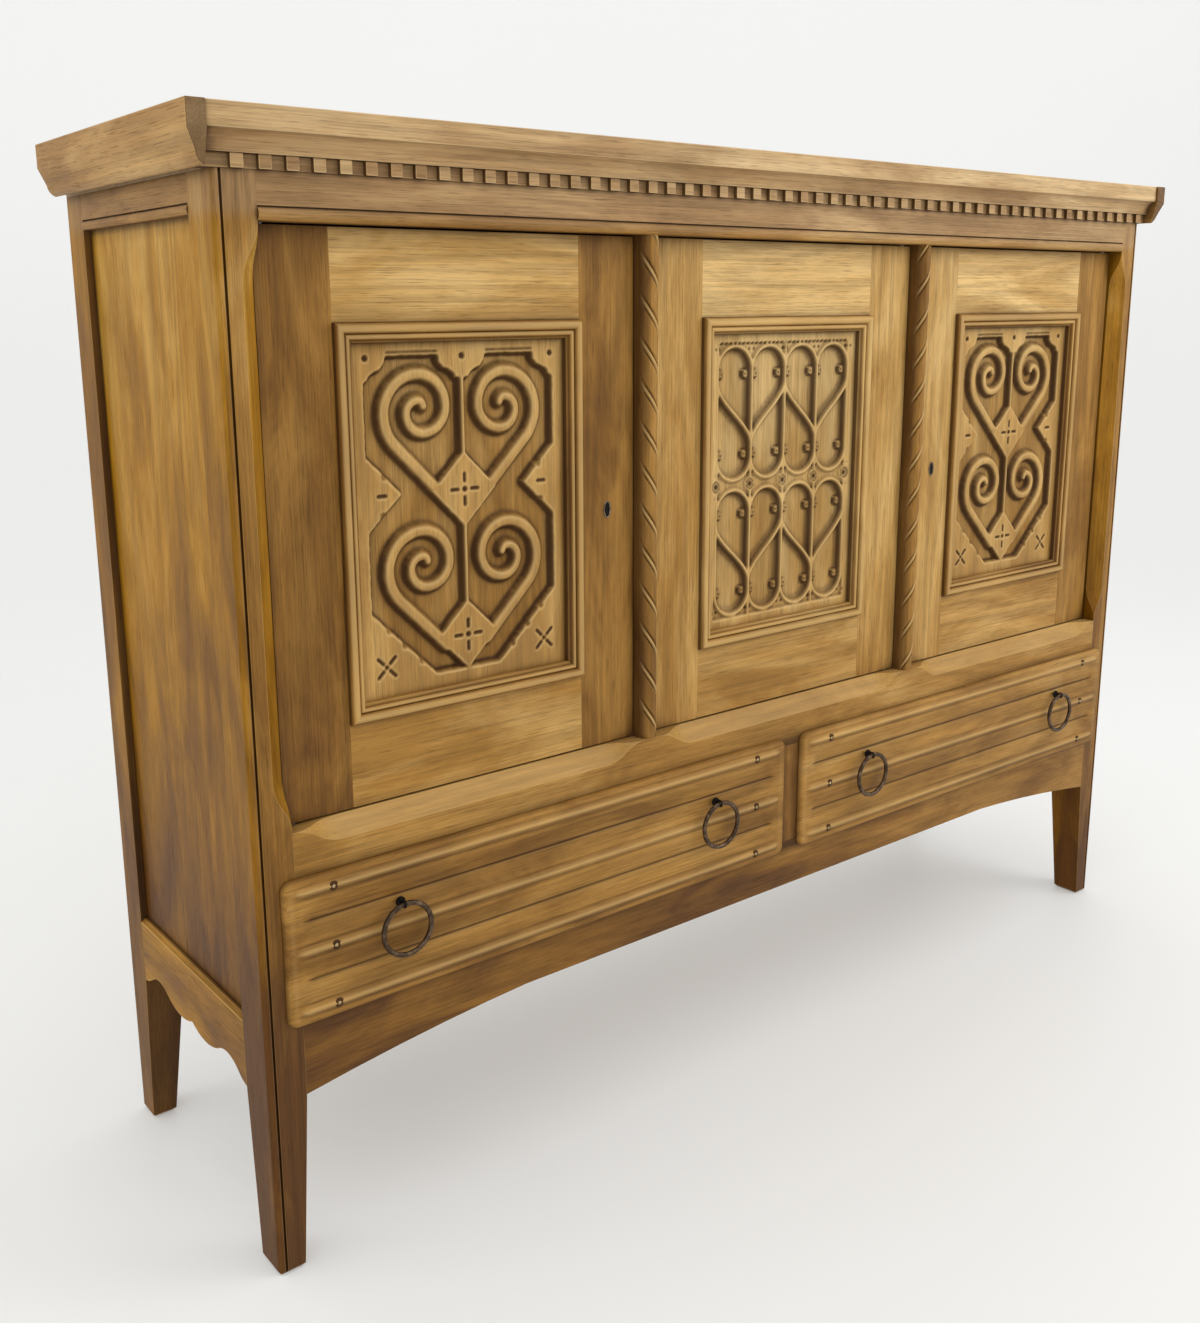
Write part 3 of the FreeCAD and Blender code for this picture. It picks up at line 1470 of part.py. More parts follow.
def eye(name, x):
    """Forged eye: a loop round the ring, a rose on the drawer front and a shank through it."""
    body = new_body(name)
    wire = size("eye_wire")
    reach = size("ring_wire") + size("eye_clearance") + wire
    level = size("ring_height")
    sketch = sketch_on(body, "XY_Plane", level, base=(x, ring_y, level))
    outline(sketch, octagon(wire, 0, reach))
    turn = body.newObject("PartDesign::Revolution", name + "_turn")
    turn.Profile = sketch
    turn.ReferenceAxis = (sketch, ["H_Axis"])
    turn.Angle = 360
    rose = lip_front - size("eye_plate_thickness")
    prism(body, "Pad", "XZ_Plane", ring_y + reach, block_back, circles=[(x, level, wire)])
    prism(body, "Pad", "XZ_Plane", rose, lip_front, circles=[(x, level, size("eye_plate_radius"))])
    return body


for side_name, side_sign in SIDES:
    drawer(side_name, side_sign)
    eyes = []
    for eye_name, eye_x in zip(("left", "right"), eye_places(side_sign)):
        ring("%s_drawer_%s_ring" % (side_name, eye_name), eye_x)
        eyes.append(eye("%s_drawer_%s_eye" % (side_name, eye_name), eye_x))
    keep("%s_drawer_eyes" % side_name, group("%s_drawer_eyes" % side_name, *eyes))

outer_runner = (back_half - size("runner_width"), back_half)
runner_y = (front + size("apron_thickness"), back_panel_front)
runner_z = (runner_top - size("runner_height"), runner_top)
runners = [board("%s_runner" % side_name, mirrored(side_sign, *outer_runner), runner_y, runner_z)
           for side_name, side_sign in SIDES]
middle_half = half_divider + size("drawer_clearance") * 2 + size("drawer_side_thickness")
runners.append(board("middle_runner", (-middle_half, middle_half), runner_y, runner_z))
runners.append(board("middle_guide", (-half_divider, half_divider), (rail_back, back_panel_front),
                     (runner_top, runner_top + size("guide_height"))))
keep("drawer_runners", group("drawer_runners", *runners))


# Test and write

doc.recompute()
faults = [item.Label for item in doc.Objects if "Invalid" in item.State or "Error" in item.State]
if faults:
    raise RuntimeError("these did not build: " + ", ".join(faults))
for label, item in pieces.items():
    if item.Shape.isNull() or not item.Shape.isValid() or not item.Shape.Solids:
        raise RuntimeError("no valid solid in " + label)
os.makedirs("parts", exist_ok=True)
for label, item in pieces.items():
    item.Shape.exportStep("parts/%s.step" % label)
print(len(pieces), "pieces,", sum(len(item.Shape.Solids) for item in pieces.values()), "solids")
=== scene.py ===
"""Oak highboard: carved doors, rope columns and folded drawer fronts over the construction model."""
import json
import math

import bmesh
import bpy
import numpy as np
from bpy.props import FloatProperty, FloatVectorProperty, IntProperty, PointerProperty
from mathutils import Matrix, Vector
from mathutils.bvhtree import BVHTree


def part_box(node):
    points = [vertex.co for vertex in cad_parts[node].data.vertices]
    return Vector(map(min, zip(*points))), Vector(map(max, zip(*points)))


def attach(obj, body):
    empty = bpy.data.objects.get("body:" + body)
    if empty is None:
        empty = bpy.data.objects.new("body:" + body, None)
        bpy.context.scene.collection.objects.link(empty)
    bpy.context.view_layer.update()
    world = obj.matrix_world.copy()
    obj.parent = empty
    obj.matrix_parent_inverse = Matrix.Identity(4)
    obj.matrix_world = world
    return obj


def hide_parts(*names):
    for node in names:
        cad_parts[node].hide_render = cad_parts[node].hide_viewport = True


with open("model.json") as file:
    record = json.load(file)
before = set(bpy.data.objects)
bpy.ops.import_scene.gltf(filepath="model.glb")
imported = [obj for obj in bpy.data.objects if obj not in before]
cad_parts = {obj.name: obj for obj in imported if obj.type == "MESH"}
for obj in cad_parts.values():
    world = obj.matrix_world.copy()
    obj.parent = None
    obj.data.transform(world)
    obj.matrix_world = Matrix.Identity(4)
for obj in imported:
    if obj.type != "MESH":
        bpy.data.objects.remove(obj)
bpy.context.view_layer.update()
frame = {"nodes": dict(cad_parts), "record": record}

bl_info = {
    "name": "Oak highboard",
    "version": (1, 0, 0),
    "blender": (4, 5, 0),
    "location": "View3D > Sidebar > Highboard",
    "description": "Carved oak highboard with rope columns, folded drawer fronts and iron rings",
    "category": "Object",
}

RECORD = frame["record"]
BODY_OF = {node: body for body, nodes in RECORD["behaviour"]["bodies"].items() for node in nodes}
SLOT_OF = {part["node"]: part["material_slot"] for part in RECORD["subparts"]}
MM = 0.001
# Coordinates in the order that turns a board's length, along X, Y or Z, to the figure's Z
GRAINS = {"X": "YZX", "Y": "ZXY", "Z": "XYZ"}
# Values that every point or face corner of an oak piece carries
# Tone also carries painted light, wear painted highlights, the dark value painted shade beside dark end grain
# and old wax, and the last a painted saturation of sideways faces
VALUES = ("board", "tone", "wear", "recess", "sidelight")


# Settings

class OakSettings(bpy.types.PropertyGroup):
    """Colours and edges of the waxed oak."""

    smoked: FloatVectorProperty(
        name="Smoked", description="Colour of the darkest boards", subtype="COLOR", size=3,
        default=(0.098, 0.039, 0.0085))
    umber: FloatVectorProperty(
        name="Umber", description="Colour of dark boards", subtype="COLOR", size=3,
        default=(0.200, 0.090, 0.0150))
    honey: FloatVectorProperty(
        name="Honey", description="Colour of most boards", subtype="COLOR", size=3,
        default=(0.340, 0.171, 0.0350))
    straw: FloatVectorProperty(
        name="Straw", description="Colour of light boards", subtype="COLOR", size=3,
        default=(0.475, 0.277, 0.082))
    # The pale colour also paints highlights on edges, crests and the sill's chamfers
    pale: FloatVectorProperty(
        name="Pale", description="Colour of the lightest boards and of rubbed arrises", subtype="COLOR",
        size=3, default=(0.65, 0.43, 0.170))
    # The shade colour paints shade into corners, recesses and gaps, along with old wax there and the dark of
    # the pores
    shade: FloatVectorProperty(
        name="Shade", description="Colour of old wax in the recesses", subtype="COLOR", size=3,
        default=(0.040, 0.0150, 0.0040))
    arris: FloatProperty(
        name="Arris", description="Rounding of the boards' edges", unit="LENGTH", default=0.0012)
    # How far from a neighbour shade is still painted into a corner
    reach: FloatProperty(
        name="Reach", description="How far off a neighbour still keeps dirt in a corner", unit="LENGTH",
        default=0.06)
    # Strength of the shade painted into the corners
    corner_shade: FloatProperty(
        name="Corner shade", description="Strength of the dirt in the corners", default=1.5)


class CarvingSettings(bpy.types.PropertyGroup):
    """Carved door panels."""

    step: FloatProperty(
        name="Step", description="Distance between the points of a carved surface", unit="LENGTH",
        default=0.0012)
    relief: FloatProperty(
        name="Relief", description="Height of the carving over its ground", unit="LENGTH", default=0.0095)
    wall: FloatProperty(
        name="Wall", description="Width of a carved wall seen from the front", unit="LENGTH", default=0.0036)
    band: FloatProperty(
        name="Band", description="Width of a scroll at its tail", unit="LENGTH", default=0.0135)
    mark: FloatProperty(
        name="Mark", description="Depth of chisel marks and drilled dots", unit="LENGTH", default=0.003)


class RopeSettings(bpy.types.PropertyGroup):
    """Rope columns between the doors."""

    pitch: FloatProperty(
        name="Pitch", description="Height of one turn of the rope", unit="LENGTH", default=0.051)
    groove: FloatProperty(
        name="Groove", description="Depth of the grooves", unit="LENGTH", default=0.0036)
    spacing: FloatProperty(
        name="Spacing", description="Distance between the two grooves of a pair", unit="LENGTH",
        default=0.0100)
    slope: FloatProperty(
        name="Slope", description="Rise of a groove for each unit round the column", default=1.35)
    pocket: FloatProperty(
        name="Pocket", description="Depth of the pocket for a lock bolt", unit="LENGTH", default=0.0073)


class FoldSettings(bpy.types.PropertyGroup):
    """Folded drawer fronts."""

    depth: FloatProperty(
        name="Depth", description="Height of a ridge over a valley", unit="LENGTH", default=0.0048)
    end: FloatProperty(
        name="End", description="Plain end before the folds begin", unit="LENGTH", default=0.008)
    run: FloatProperty(
        name="Run", description="Length over which a fold fades out", unit="LENGTH", default=0.018)
    round: FloatProperty(
        name="Round", description="Rounding of the front's outer edge", unit="LENGTH", default=0.0055)
    corner: FloatProperty(
        name="Corner", description="Corner radius of the front", unit="LENGTH", default=0.012)
    peg: FloatProperty(
        name="Peg", description="Radius of a peg head", unit="LENGTH", default=0.0056)


class DentilSettings(bpy.types.PropertyGroup):
    """Dentil blocks under the cornice."""

    pitch: FloatProperty(
        name="Pitch", description="Distance from block to block", unit="LENGTH", default=0.0291)
    start: FloatProperty(
        name="Start", description="Middle of the first block from the strip's end", unit="LENGTH",
        default=0.0353)
    block: FloatProperty(name="Block", description="Width of a block", unit="LENGTH", default=0.014)
    proud: FloatProperty(
        name="Proud", description="How far a block stands out from the strip", unit="LENGTH", default=0.0055)


class RingSettings(bpy.types.PropertyGroup):
    """Forged rings and eyes."""

    wire: FloatProperty(
        name="Wire", description="Radius of the ring's wire", unit="LENGTH", default=0.0031)
    segments: IntProperty(name="Segments", description="Steps round a ring", default=72, min=12)
    stretch: FloatProperty(
        name="Stretch", description="Size of a forged ring against a true one", default=1.04)
    askew: FloatProperty(
        name="Askew", description="How far a ring hangs to one side", unit="LENGTH", default=0.004)


class StageSettings(bpy.types.PropertyGroup):
    """Camera, lights and floor."""

    camera: FloatVectorProperty(
        name="Camera", description="Place of the camera", unit="LENGTH", size=3,
        default=(-1.3511, -1.4434, 1.0739))
    azimuth: FloatProperty(
        name="Azimuth", description="Direction of view round the cabinet", subtype="ANGLE",
        default=math.radians(-37.998))
    elevation: FloatProperty(
        name="Elevation", description="Tilt of the view", subtype="ANGLE", default=math.radians(12.288))
    roll: FloatProperty(
        name="Roll", description="Lean of the camera", subtype="ANGLE", default=math.radians(-0.412))
    lens: FloatProperty(name="Lens", description="Focal length in millimetres", default=36.095)
    shift: FloatVectorProperty(
        name="Shift", description="Lens shift of the photograph's cropped frame", size=2,
        default=(0.01463, -0.04910))
    floor: FloatVectorProperty(
        name="Floor", description="Colour of the studio floor", subtype="COLOR", size=3,
        default=(0.62, 0.622, 0.612))
    glow: FloatVectorProperty(
        name="Glow", description="Light of the floor and of the backdrop by themselves", size=2,
        default=(0.225, 0.315))
    ambient: FloatProperty(name="Ambient", description="Strength of the even light", default=0.96)
    key: FloatProperty(name="Key", description="Power of the large front light", default=20.0)


SETTINGS = {
    "highboard_oak": OakSettings,
    "highboard_carving": CarvingSettings,
    "highboard_rope": RopeSettings,
    "highboard_fold": FoldSettings,
    "highboard_dentils": DentilSettings,
    "highboard_ring": RingSettings,
    "highboard_stage": StageSettings,
}


# Shader groups and materials

def link(tree, source, target):
    """Links two sockets, or sets the target from a plain value."""
    if isinstance(source, bpy.types.NodeSocket):
        tree.links.new(source, target)
    else:
        target.default_value = source


def add_node(tree, kind, **inputs):
    """Adds a node and fills its inputs, in whose names a low line stands for a space."""
    node = tree.nodes.new(kind)
    for title, value in inputs.items():
        link(tree, value, node.inputs[title.replace("_", " ")])
    return node


def math_node(tree, operation, *values, clamp=False):
    """One arithmetic step; returns its output socket."""
    node = tree.nodes.new("ShaderNodeMath")
    node.operation = operation
    node.use_clamp = clamp
    for value, socket in zip(values, node.inputs):
        link(tree, value, socket)
    return node.outputs[0]


def ramp_node(tree, value, low, high):
    """Smooth step from 0 at low to 1 at high."""
    node = add_node(tree, "ShaderNodeMapRange", Value=value, From_Min=low, From_Max=high)
    node.interpolation_type = "SMOOTHSTEP"
    return node.outputs["Result"]


def mix_node(tree, factor, first, second, blend="MIX"):
    """Mixes two colours; returns the result socket."""
    node = tree.nodes.new("ShaderNodeMix")
    node.data_type = "RGBA"
    node.blend_type = blend
    link(tree, factor, node.inputs["Factor"])
    link(tree, first, node.inputs["A"])
    link(tree, second, node.inputs["B"])
    return node.outputs["Result"]


def stretched_noise(tree, vector, stretch, detail, roughness=0.5, distortion=0.0):
    """Noise whose grains are stretched along the wood."""
    scale = tree.nodes.new("ShaderNodeVectorMath")
    scale.operation = "MULTIPLY"
    link(tree, vector, scale.inputs[0])
    scale.inputs[1].default_value = stretch
    noise = add_node(tree, "ShaderNodeTexNoise", Vector=scale.outputs[0], Scale=1.0, Detail=detail,
                     Roughness=roughness, Distortion=distortion)
    return noise.outputs["Fac"]


def shader_group(name, inputs, outputs):
    """A node group with sockets of the given kinds; returns its tree, inputs and outputs."""
    tree = bpy.data.node_groups.new(name, "ShaderNodeTree")
    for way, sockets in (("INPUT", inputs), ("OUTPUT", outputs)):
        for title, kind in sockets.items():
            tree.interface.new_socket(name=title, in_out=way, socket_type="NodeSocket" + kind)
    return tree, tree.nodes.new("NodeGroupInput").outputs, tree.nodes.new("NodeGroupOutput").inputs


FIGURE_VALUES = ("Figure", "Patch", "Pores")


def figure_group():
    """Growth figure, streaks and pores of oak, along the vector's Z."""
    tree, given, result = shader_group(
        "Oak figure", {"Vector": "Vector", "Board": "Float"}, dict.fromkeys(FIGURE_VALUES, "Float"))
    shift = tree.nodes.new("ShaderNodeCombineXYZ")
    for axis, reach in zip("XYZ", (3.7, 5.9, 8.3)):
        link(tree, math_node(tree, "MULTIPLY", given["Board"], reach), shift.inputs[axis])
    place = tree.nodes.new("ShaderNodeVectorMath")
    place.operation = "ADD"
    link(tree, given["Vector"], place.inputs[0])
    link(tree, shift.outputs[0], place.inputs[1])
    vector = place.outputs[0]
    rings = stretched_noise(tree, vector, (9.0, 9.0, 0.9), 2.0, 0.45, 0.2)
    wave = math_node(tree, "SINE", math_node(tree, "MULTIPLY", rings, 74.0))
    bands = math_node(tree, "MULTIPLY_ADD", wave, 0.5, 0.5)
    streaks = ramp_node(tree, stretched_noise(tree, vector, (430.0, 430.0, 4.0), 3.0, 0.6), 0.2, 0.8)
    mixed = math_node(tree, "MULTIPLY_ADD", bands, 0.32, math_node(tree, "MULTIPLY", streaks, 0.68))
    link(tree, mixed, result["Figure"])
    patch = stretched_noise(tree, vector, (15.0, 15.0, 4.0), 5.0, 0.6, 0.6)
    link(tree, ramp_node(tree, patch, 0.25, 0.75), result["Patch"])
    pores = stretched_noise(tree, vector, (1000.0, 1000.0, 30.0), 1.5, 0.5)
    link(tree, ramp_node(tree, pores, 0.56, 0.68), result["Pores"])
    return tree


# Heights in metres: up to where the boards darken towards the floor, partly grime and partly painted shade,
# and from where the top loses colour as painted haze of reflected light
SHADE_AND_GRIME_BELOW = 0.72
HAZE_FROM, HAZE_FULL = 1.155, 1.175


def finish_group(oak):
    """Colour, roughness and height of waxed oak from its figure, its rubbed wear with painted highlights, and
    painted shade with old wax.
    """
    titles = (*FIGURE_VALUES, "Tone", "Wear", "Recess", "Sidelight", "Level")
    tree, given, result = shader_group(
        "Oak finish", dict.fromkeys(titles, "Float"),
        {"Color": "Color", "Roughness": "Float", "Height": "Float"})
    cloud = math_node(tree, "MULTIPLY_ADD", given["Patch"], 0.42, -0.21)
    # Darker towards the floor: partly grime, partly painted shade of light from above
    low = math_node(tree, "MULTIPLY", ramp_node(tree, given["Level"], SHADE_AND_GRIME_BELOW, 0.0), 0.14)
    place = math_node(tree, "SUBTRACT", math_node(tree, "ADD", given["Tone"], cloud), low, clamp=True)
    boards = add_node(tree, "ShaderNodeValToRGB", Fac=place)
    steps = (oak.smoked, oak.umber, oak.honey, oak.straw, oak.pale)
    stops = boards.color_ramp.elements
    while len(stops) < len(steps):
        stops.new(0.5)
    for index, colour in enumerate(steps):
        stops[index].position = index / (len(steps) - 1)
        stops[index].color = (*colour, 1.0)
    grain = math_node(tree, "MULTIPLY_ADD", given["Figure"], 0.60, 0.71)
    grey = add_node(tree, "ShaderNodeCombineColor", Red=grain, Green=grain, Blue=grain)
    colour = mix_node(tree, 1.0, boards.outputs["Color"], grey.outputs[0], "MULTIPLY")
    # Dark pores, then pale rubbed wear with painted highlights, then painted shade with old wax and dark end
    # grain
    coats = (("Pores", 0.34, oak.shade), ("Wear", 0.62, oak.pale), ("Recess", 0.92, oak.shade))
    for title, strength, coat in coats:
        share = math_node(tree, "MULTIPLY", given[title], strength, clamp=True)
        colour = mix_node(tree, share, colour, (*coat, 1.0))
    # Less saturated from the frieze up: painted haze of reflected light
    top_haze = math_node(tree, "MULTIPLY_ADD", ramp_node(tree, given["Level"], HAZE_FROM, HAZE_FULL), -0.15, 1.0)
    # Sideways faces painted more saturated, against their reflection of the bright surround
    depth = math_node(tree, "MULTIPLY_ADD", given["Sidelight"], 0.11, top_haze)
    tint = add_node(tree, "ShaderNodeHueSaturation", Saturation=depth, Color=colour)
    link(tree, tint.outputs["Color"], result["Color"])
    rough = math_node(tree, "MULTIPLY_ADD", given["Pores"], 0.14, 0.46)
    link(tree, math_node(tree, "MULTIPLY_ADD", given["Recess"], 0.2, rough), result["Roughness"])
    raised = math_node(tree, "MULTIPLY", given["Figure"], 0.35)
    link(tree, math_node(tree, "SUBTRACT", raised, given["Pores"]), result["Height"])
    return tree


def attribute_value(tree, name):
    """Reads one of a piece's own values."""
    node = tree.nodes.new("ShaderNodeAttribute")
    node.attribute_type = "GEOMETRY"
    node.attribute_name = name
    return node.outputs["Fac"]


def plain_material(name):
    """A material with one Principled shader."""
    material = bpy.data.materials.new(name)
    material.use_nodes = True
    tree = material.node_tree
    shader = tree.nodes["Principled BSDF"]
    place = tree.nodes.new("ShaderNodeTexCoord")
    return material, tree, shader, place.outputs["Object"]


def grained_wood(tree, place, grain, figure):
    """The wood figure along one axis; returns its node and the separate coordinates."""
    split = add_node(tree, "ShaderNodeSeparateXYZ", Vector=place)
    turned = tree.nodes.new("ShaderNodeCombineXYZ")
    for target, source in zip("XYZ", GRAINS[grain]):
        link(tree, split.outputs[source], turned.inputs[target])
    wood = tree.nodes.new("ShaderNodeGroup")
    wood.node_tree = figure
    link(tree, turned.outputs[0], wood.inputs["Vector"])
    return wood, split.outputs


def oak_material(grain, figure, finish):
    """Waxed oak whose grain runs along one axis."""
    material, tree, shader, place = plain_material("Oak along " + grain)
    wood, place = grained_wood(tree, place, grain, figure)
    link(tree, attribute_value(tree, "board"), wood.inputs["Board"])
    coat = tree.nodes.new("ShaderNodeGroup")
    coat.node_tree = finish
    for title in FIGURE_VALUES:
        link(tree, wood.outputs[title], coat.inputs[title])
    for name in VALUES[1:]:
        link(tree, attribute_value(tree, name), coat.inputs[name.title()])
    link(tree, place["Z"], coat.inputs["Level"])
    bump = add_node(tree, "ShaderNodeBump", Strength=0.16, Distance=0.6 * MM, Height=coat.outputs["Height"])
    link(tree, coat.outputs["Color"], shader.inputs["Base Color"])
    link(tree, coat.outputs["Roughness"], shader.inputs["Roughness"])
    link(tree, bump.outputs[0], shader.inputs["Normal"])
    shader.inputs["Specular IOR Level"].default_value = 0.16
    return material


def inner_material(figure):
    """Plain planed wood of the inside."""
    material, tree, shader, place = plain_material("Planed inner wood")
    wood, _ = grained_wood(tree, place, "X", figure)
    wood.inputs["Board"].default_value = 0.3
    colour = mix_node(tree, wood.outputs["Figure"], (0.30, 0.17, 0.075, 1.0), (0.50, 0.33, 0.17, 1.0))
    link(tree, colour, shader.inputs["Base Color"])
    shader.inputs["Roughness"].default_value = 0.62
    return material


def metal_material(name, dark, light, metallic, roughness, scale):
    """Mottled old metal."""
    material, tree, shader, place = plain_material(name)
    mottle = stretched_noise(tree, place, (scale, scale, scale), 4.0, 0.6)
    worn = ramp_node(tree, mottle, 0.42, 0.68)
    link(tree, mix_node(tree, worn, (*dark, 1.0), (*light, 1.0)), shader.inputs["Base Color"])
    link(tree, math_node(tree, "MULTIPLY_ADD", mottle, 0.25, roughness), shader.inputs["Roughness"])
    shader.inputs["Metallic"].default_value = metallic
    shader.inputs["Specular IOR Level"].default_value = 0.5 * metallic
    bump = add_node(tree, "ShaderNodeBump", Strength=0.12, Distance=0.4 * MM, Height=mottle)
    link(tree, bump.outputs[0], shader.inputs["Normal"])
    return material


# Old metals: name, dark and light colour, metallic share, roughness and mottles in a metre
METALS = {
    "iron": ("Forged iron", (0.055, 0.034, 0.020), (0.17, 0.11, 0.065), 0.85, 0.28, 160.0),
    # Black iron of the eyes, also used as painted shade of the keyholes
    "black_iron": ("Black iron", (0.006, 0.005, 0.004), (0.020, 0.015, 0.012), 0.2, 0.5, 260.0),
    "bronze": ("Dark bronze", (0.13, 0.095, 0.06), (0.34, 0.26, 0.17), 0.8, 0.34, 400.0),
    "steel": ("Dull steel", (0.20, 0.19, 0.18), (0.38, 0.37, 0.35), 1.0, 0.34, 180.0),
    "brass": ("Aged brass", (0.34, 0.24, 0.11), (0.62, 0.48, 0.27), 1.0, 0.30, 180.0),
}
MATERIALS = {}


def make_materials():
    """Builds every material of the cabinet once."""
    if MATERIALS:
        return
    figure = figure_group()
    finish = finish_group(bpy.context.scene.highboard_oak)
    for grain in GRAINS:
        MATERIALS[grain] = oak_material(grain, figure, finish)
    MATERIALS["inner_wood"] = inner_material(figure)
    for slot, look in METALS.items():
        MATERIALS[slot] = metal_material(*look)


# Pieces

def give_values(mesh, domain="POINT", **values):
    """Stores a piece's values on its points or on the corners of its faces."""
    count = len(mesh.vertices) if domain == "POINT" else len(mesh.loops)
    for name in VALUES:
        item = mesh.attributes.new(name, "FLOAT", domain)
        given = values.get(name, 0.0)
        flat = np.full(count, given, np.float32) if np.isscalar(given) else np.asarray(given, np.float32)
        item.data.foreach_set("value", flat.ravel())


def place_piece(name, mesh, materials, body, nodes=()):
    """Puts a finished mesh into the scene and ties it to its body."""
    piece = bpy.data.objects.new(name, mesh)
    bpy.context.scene.collection.objects.link(piece)
    for material in materials[len(mesh.materials):]:
        mesh.materials.append(material)
    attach(piece, body)
    if nodes:
        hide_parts(*nodes)


def dress_node(node, suffix, mesh, *materials):
    """Puts a piece in the place of one node of the construction model."""
    place_piece(node + suffix, mesh, materials, BODY_OF[node], [node])


def node_box(node):
    """Lower and upper corner of a node's box."""
    low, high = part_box(node)
    return Vector(low), Vector(high)


def grid_faces(rows, columns, closed=False):
    """Quads of a grid of points, whose last column meets the first if it is closed."""
    faces = []
    for row in range(rows - 1):
        here, after = row * columns, (row + 1) * columns
        for column in range(columns if closed else columns - 1):
            side = (column + 1) % columns
            faces.append((here + column, here + side, after + side, after + column))
    return faces


def shifted(faces, start):
    """Faces whose points begin at a later number."""
    return [tuple(index + start for index in face) for face in faces]


def box_points(low, high):
    """Corners and faces of a plain box."""
    corners = [(x, y, z) for x in (low[0], high[0]) for y in (low[1], high[1]) for z in (low[2], high[2])]
    faces = [(0, 1, 3, 2), (4, 6, 7, 5), (0, 4, 5, 1), (2, 3, 7, 6), (0, 2, 6, 4), (1, 5, 7, 3)]
    return corners, faces


def build_mesh(name, points, faces, sharp=40.0):
    """A smooth mesh with sharp edges where it turns by more than an angle."""
    mesh = bpy.data.meshes.new(name)
    mesh.from_pydata([tuple(point) for point in points], [], faces)
    mesh.validate()
    mesh.polygons.foreach_set("use_smooth", [True] * len(mesh.polygons))
    mesh.set_sharp_from_angle(angle=math.radians(sharp))
    mesh.update()
    return mesh


def islands(bm):
    """Numbers the loose solids of a mesh; returns one number for each point."""
    number = [-1] * len(bm.verts)
    current = 0
    for start in bm.verts:
        if number[start.index] >= 0:
            continue
        waiting = [start]
        number[start.index] = current
        while waiting:
            point = waiting.pop()
            for edge in point.link_edges:
                other = edge.other_vert(point)
                if number[other.index] < 0:
                    number[other.index] = current
                    waiting.append(other)
        current += 1
    return number


# Geometry trees

def nodes_tree(name, sizes):
    """A geometry tree with a named input for each size and for the material."""
    tree = bpy.data.node_groups.new(name, "GeometryNodeTree")
    for title, kind in (*sizes, ("Material", "Material")):
        tree.interface.new_socket(name=title, in_out="INPUT", socket_type="NodeSocket" + kind)
    tree.interface.new_socket(name="Geometry", in_out="OUTPUT", socket_type="NodeSocketGeometry")
    return tree, tree.nodes.new("NodeGroupInput").outputs


def end_tree(tree, given, geometry):
    """Ends a tree in real geometry with its material."""
    real = add_node(tree, "GeometryNodeRealizeInstances", Geometry=geometry)
    painted = add_node(tree, "GeometryNodeSetMaterial", Geometry=real.outputs[0], Material=given["Material"])
    add_node(tree, "NodeGroupOutput", Geometry=painted.outputs[0])
    return tree


def ring_tree():
    """A ring of round wire, upright and facing the front."""
    tree, given = nodes_tree("Ring", (("Radius", "Float"), ("Wire", "Float"), ("Segments", "Int"),
                                      ("Middle", "Vector")))
    path = add_node(tree, "GeometryNodeCurvePrimitiveCircle", Resolution=given["Segments"],
                    Radius=given["Radius"])
    section = add_node(tree, "GeometryNodeCurvePrimitiveCircle", Resolution=14, Radius=given["Wire"])
    wire = add_node(tree, "GeometryNodeCurveToMesh", Curve=path.outputs[0], Profile_Curve=section.outputs[0])
    hung = add_node(tree, "GeometryNodeTransform", Geometry=wire.outputs[0], Translation=given["Middle"],
                    Rotation=(math.pi / 2, 0.0, 0.0))
    return end_tree(tree, given, hung.outputs[0])


def peg_tree():
    """Flat round heads at the ends of a front, three above each other."""
    tree, given = nodes_tree("Pegs", (("Across", "Float"), ("Up", "Float"), ("Middle", "Vector"),
                                      ("Radius", "Float"), ("Flat", "Float")))
    places = add_node(tree, "GeometryNodeMeshGrid", Size_X=given["Across"], Size_Y=given["Up"], Vertices_X=2,
                      Vertices_Y=3)
    stood = add_node(tree, "GeometryNodeTransform", Geometry=places.outputs[0], Translation=given["Middle"],
                     Rotation=(math.pi / 2, 0.0, 0.0))
    head = add_node(tree, "GeometryNodeMeshUVSphere", Segments=16, Rings=8, Radius=given["Radius"])
    thin = add_node(tree, "ShaderNodeCombineXYZ", X=1.0, Y=given["Flat"], Z=1.0)
    pressed = add_node(tree, "GeometryNodeTransform", Geometry=head.outputs[0], Scale=thin.outputs[0])
    spread = add_node(tree, "GeometryNodeInstanceOnPoints", Points=stood.outputs[0],
                      Instance=pressed.outputs[0])
    return end_tree(tree, given, spread.outputs[0])


def dentil_tree():
    """A strip with a row of blocks on its front."""
    tree, given = nodes_tree("Dentils", (("Count", "Int"), ("Pitch", "Vector"), ("Start", "Vector"),
                                         ("Block", "Vector"), ("Strip", "Vector"), ("Middle", "Vector")))
    row = add_node(tree, "GeometryNodeMeshLine", Count=given["Count"], Start_Location=given["Start"],
                   Offset=given["Pitch"])
    block = add_node(tree, "GeometryNodeMeshCube", Size=given["Block"])
    blocks = add_node(tree, "GeometryNodeInstanceOnPoints", Points=row.outputs[0], Instance=block.outputs[0])
    strip = add_node(tree, "GeometryNodeMeshCube", Size=given["Strip"])
    behind = add_node(tree, "GeometryNodeTransform", Geometry=strip.outputs[0], Translation=given["Middle"])
    joined = tree.nodes.new("GeometryNodeJoinGeometry")
    for part in (behind, blocks):
        tree.links.new(part.outputs[0], joined.inputs[0])
    return end_tree(tree, given, joined.outputs[0])


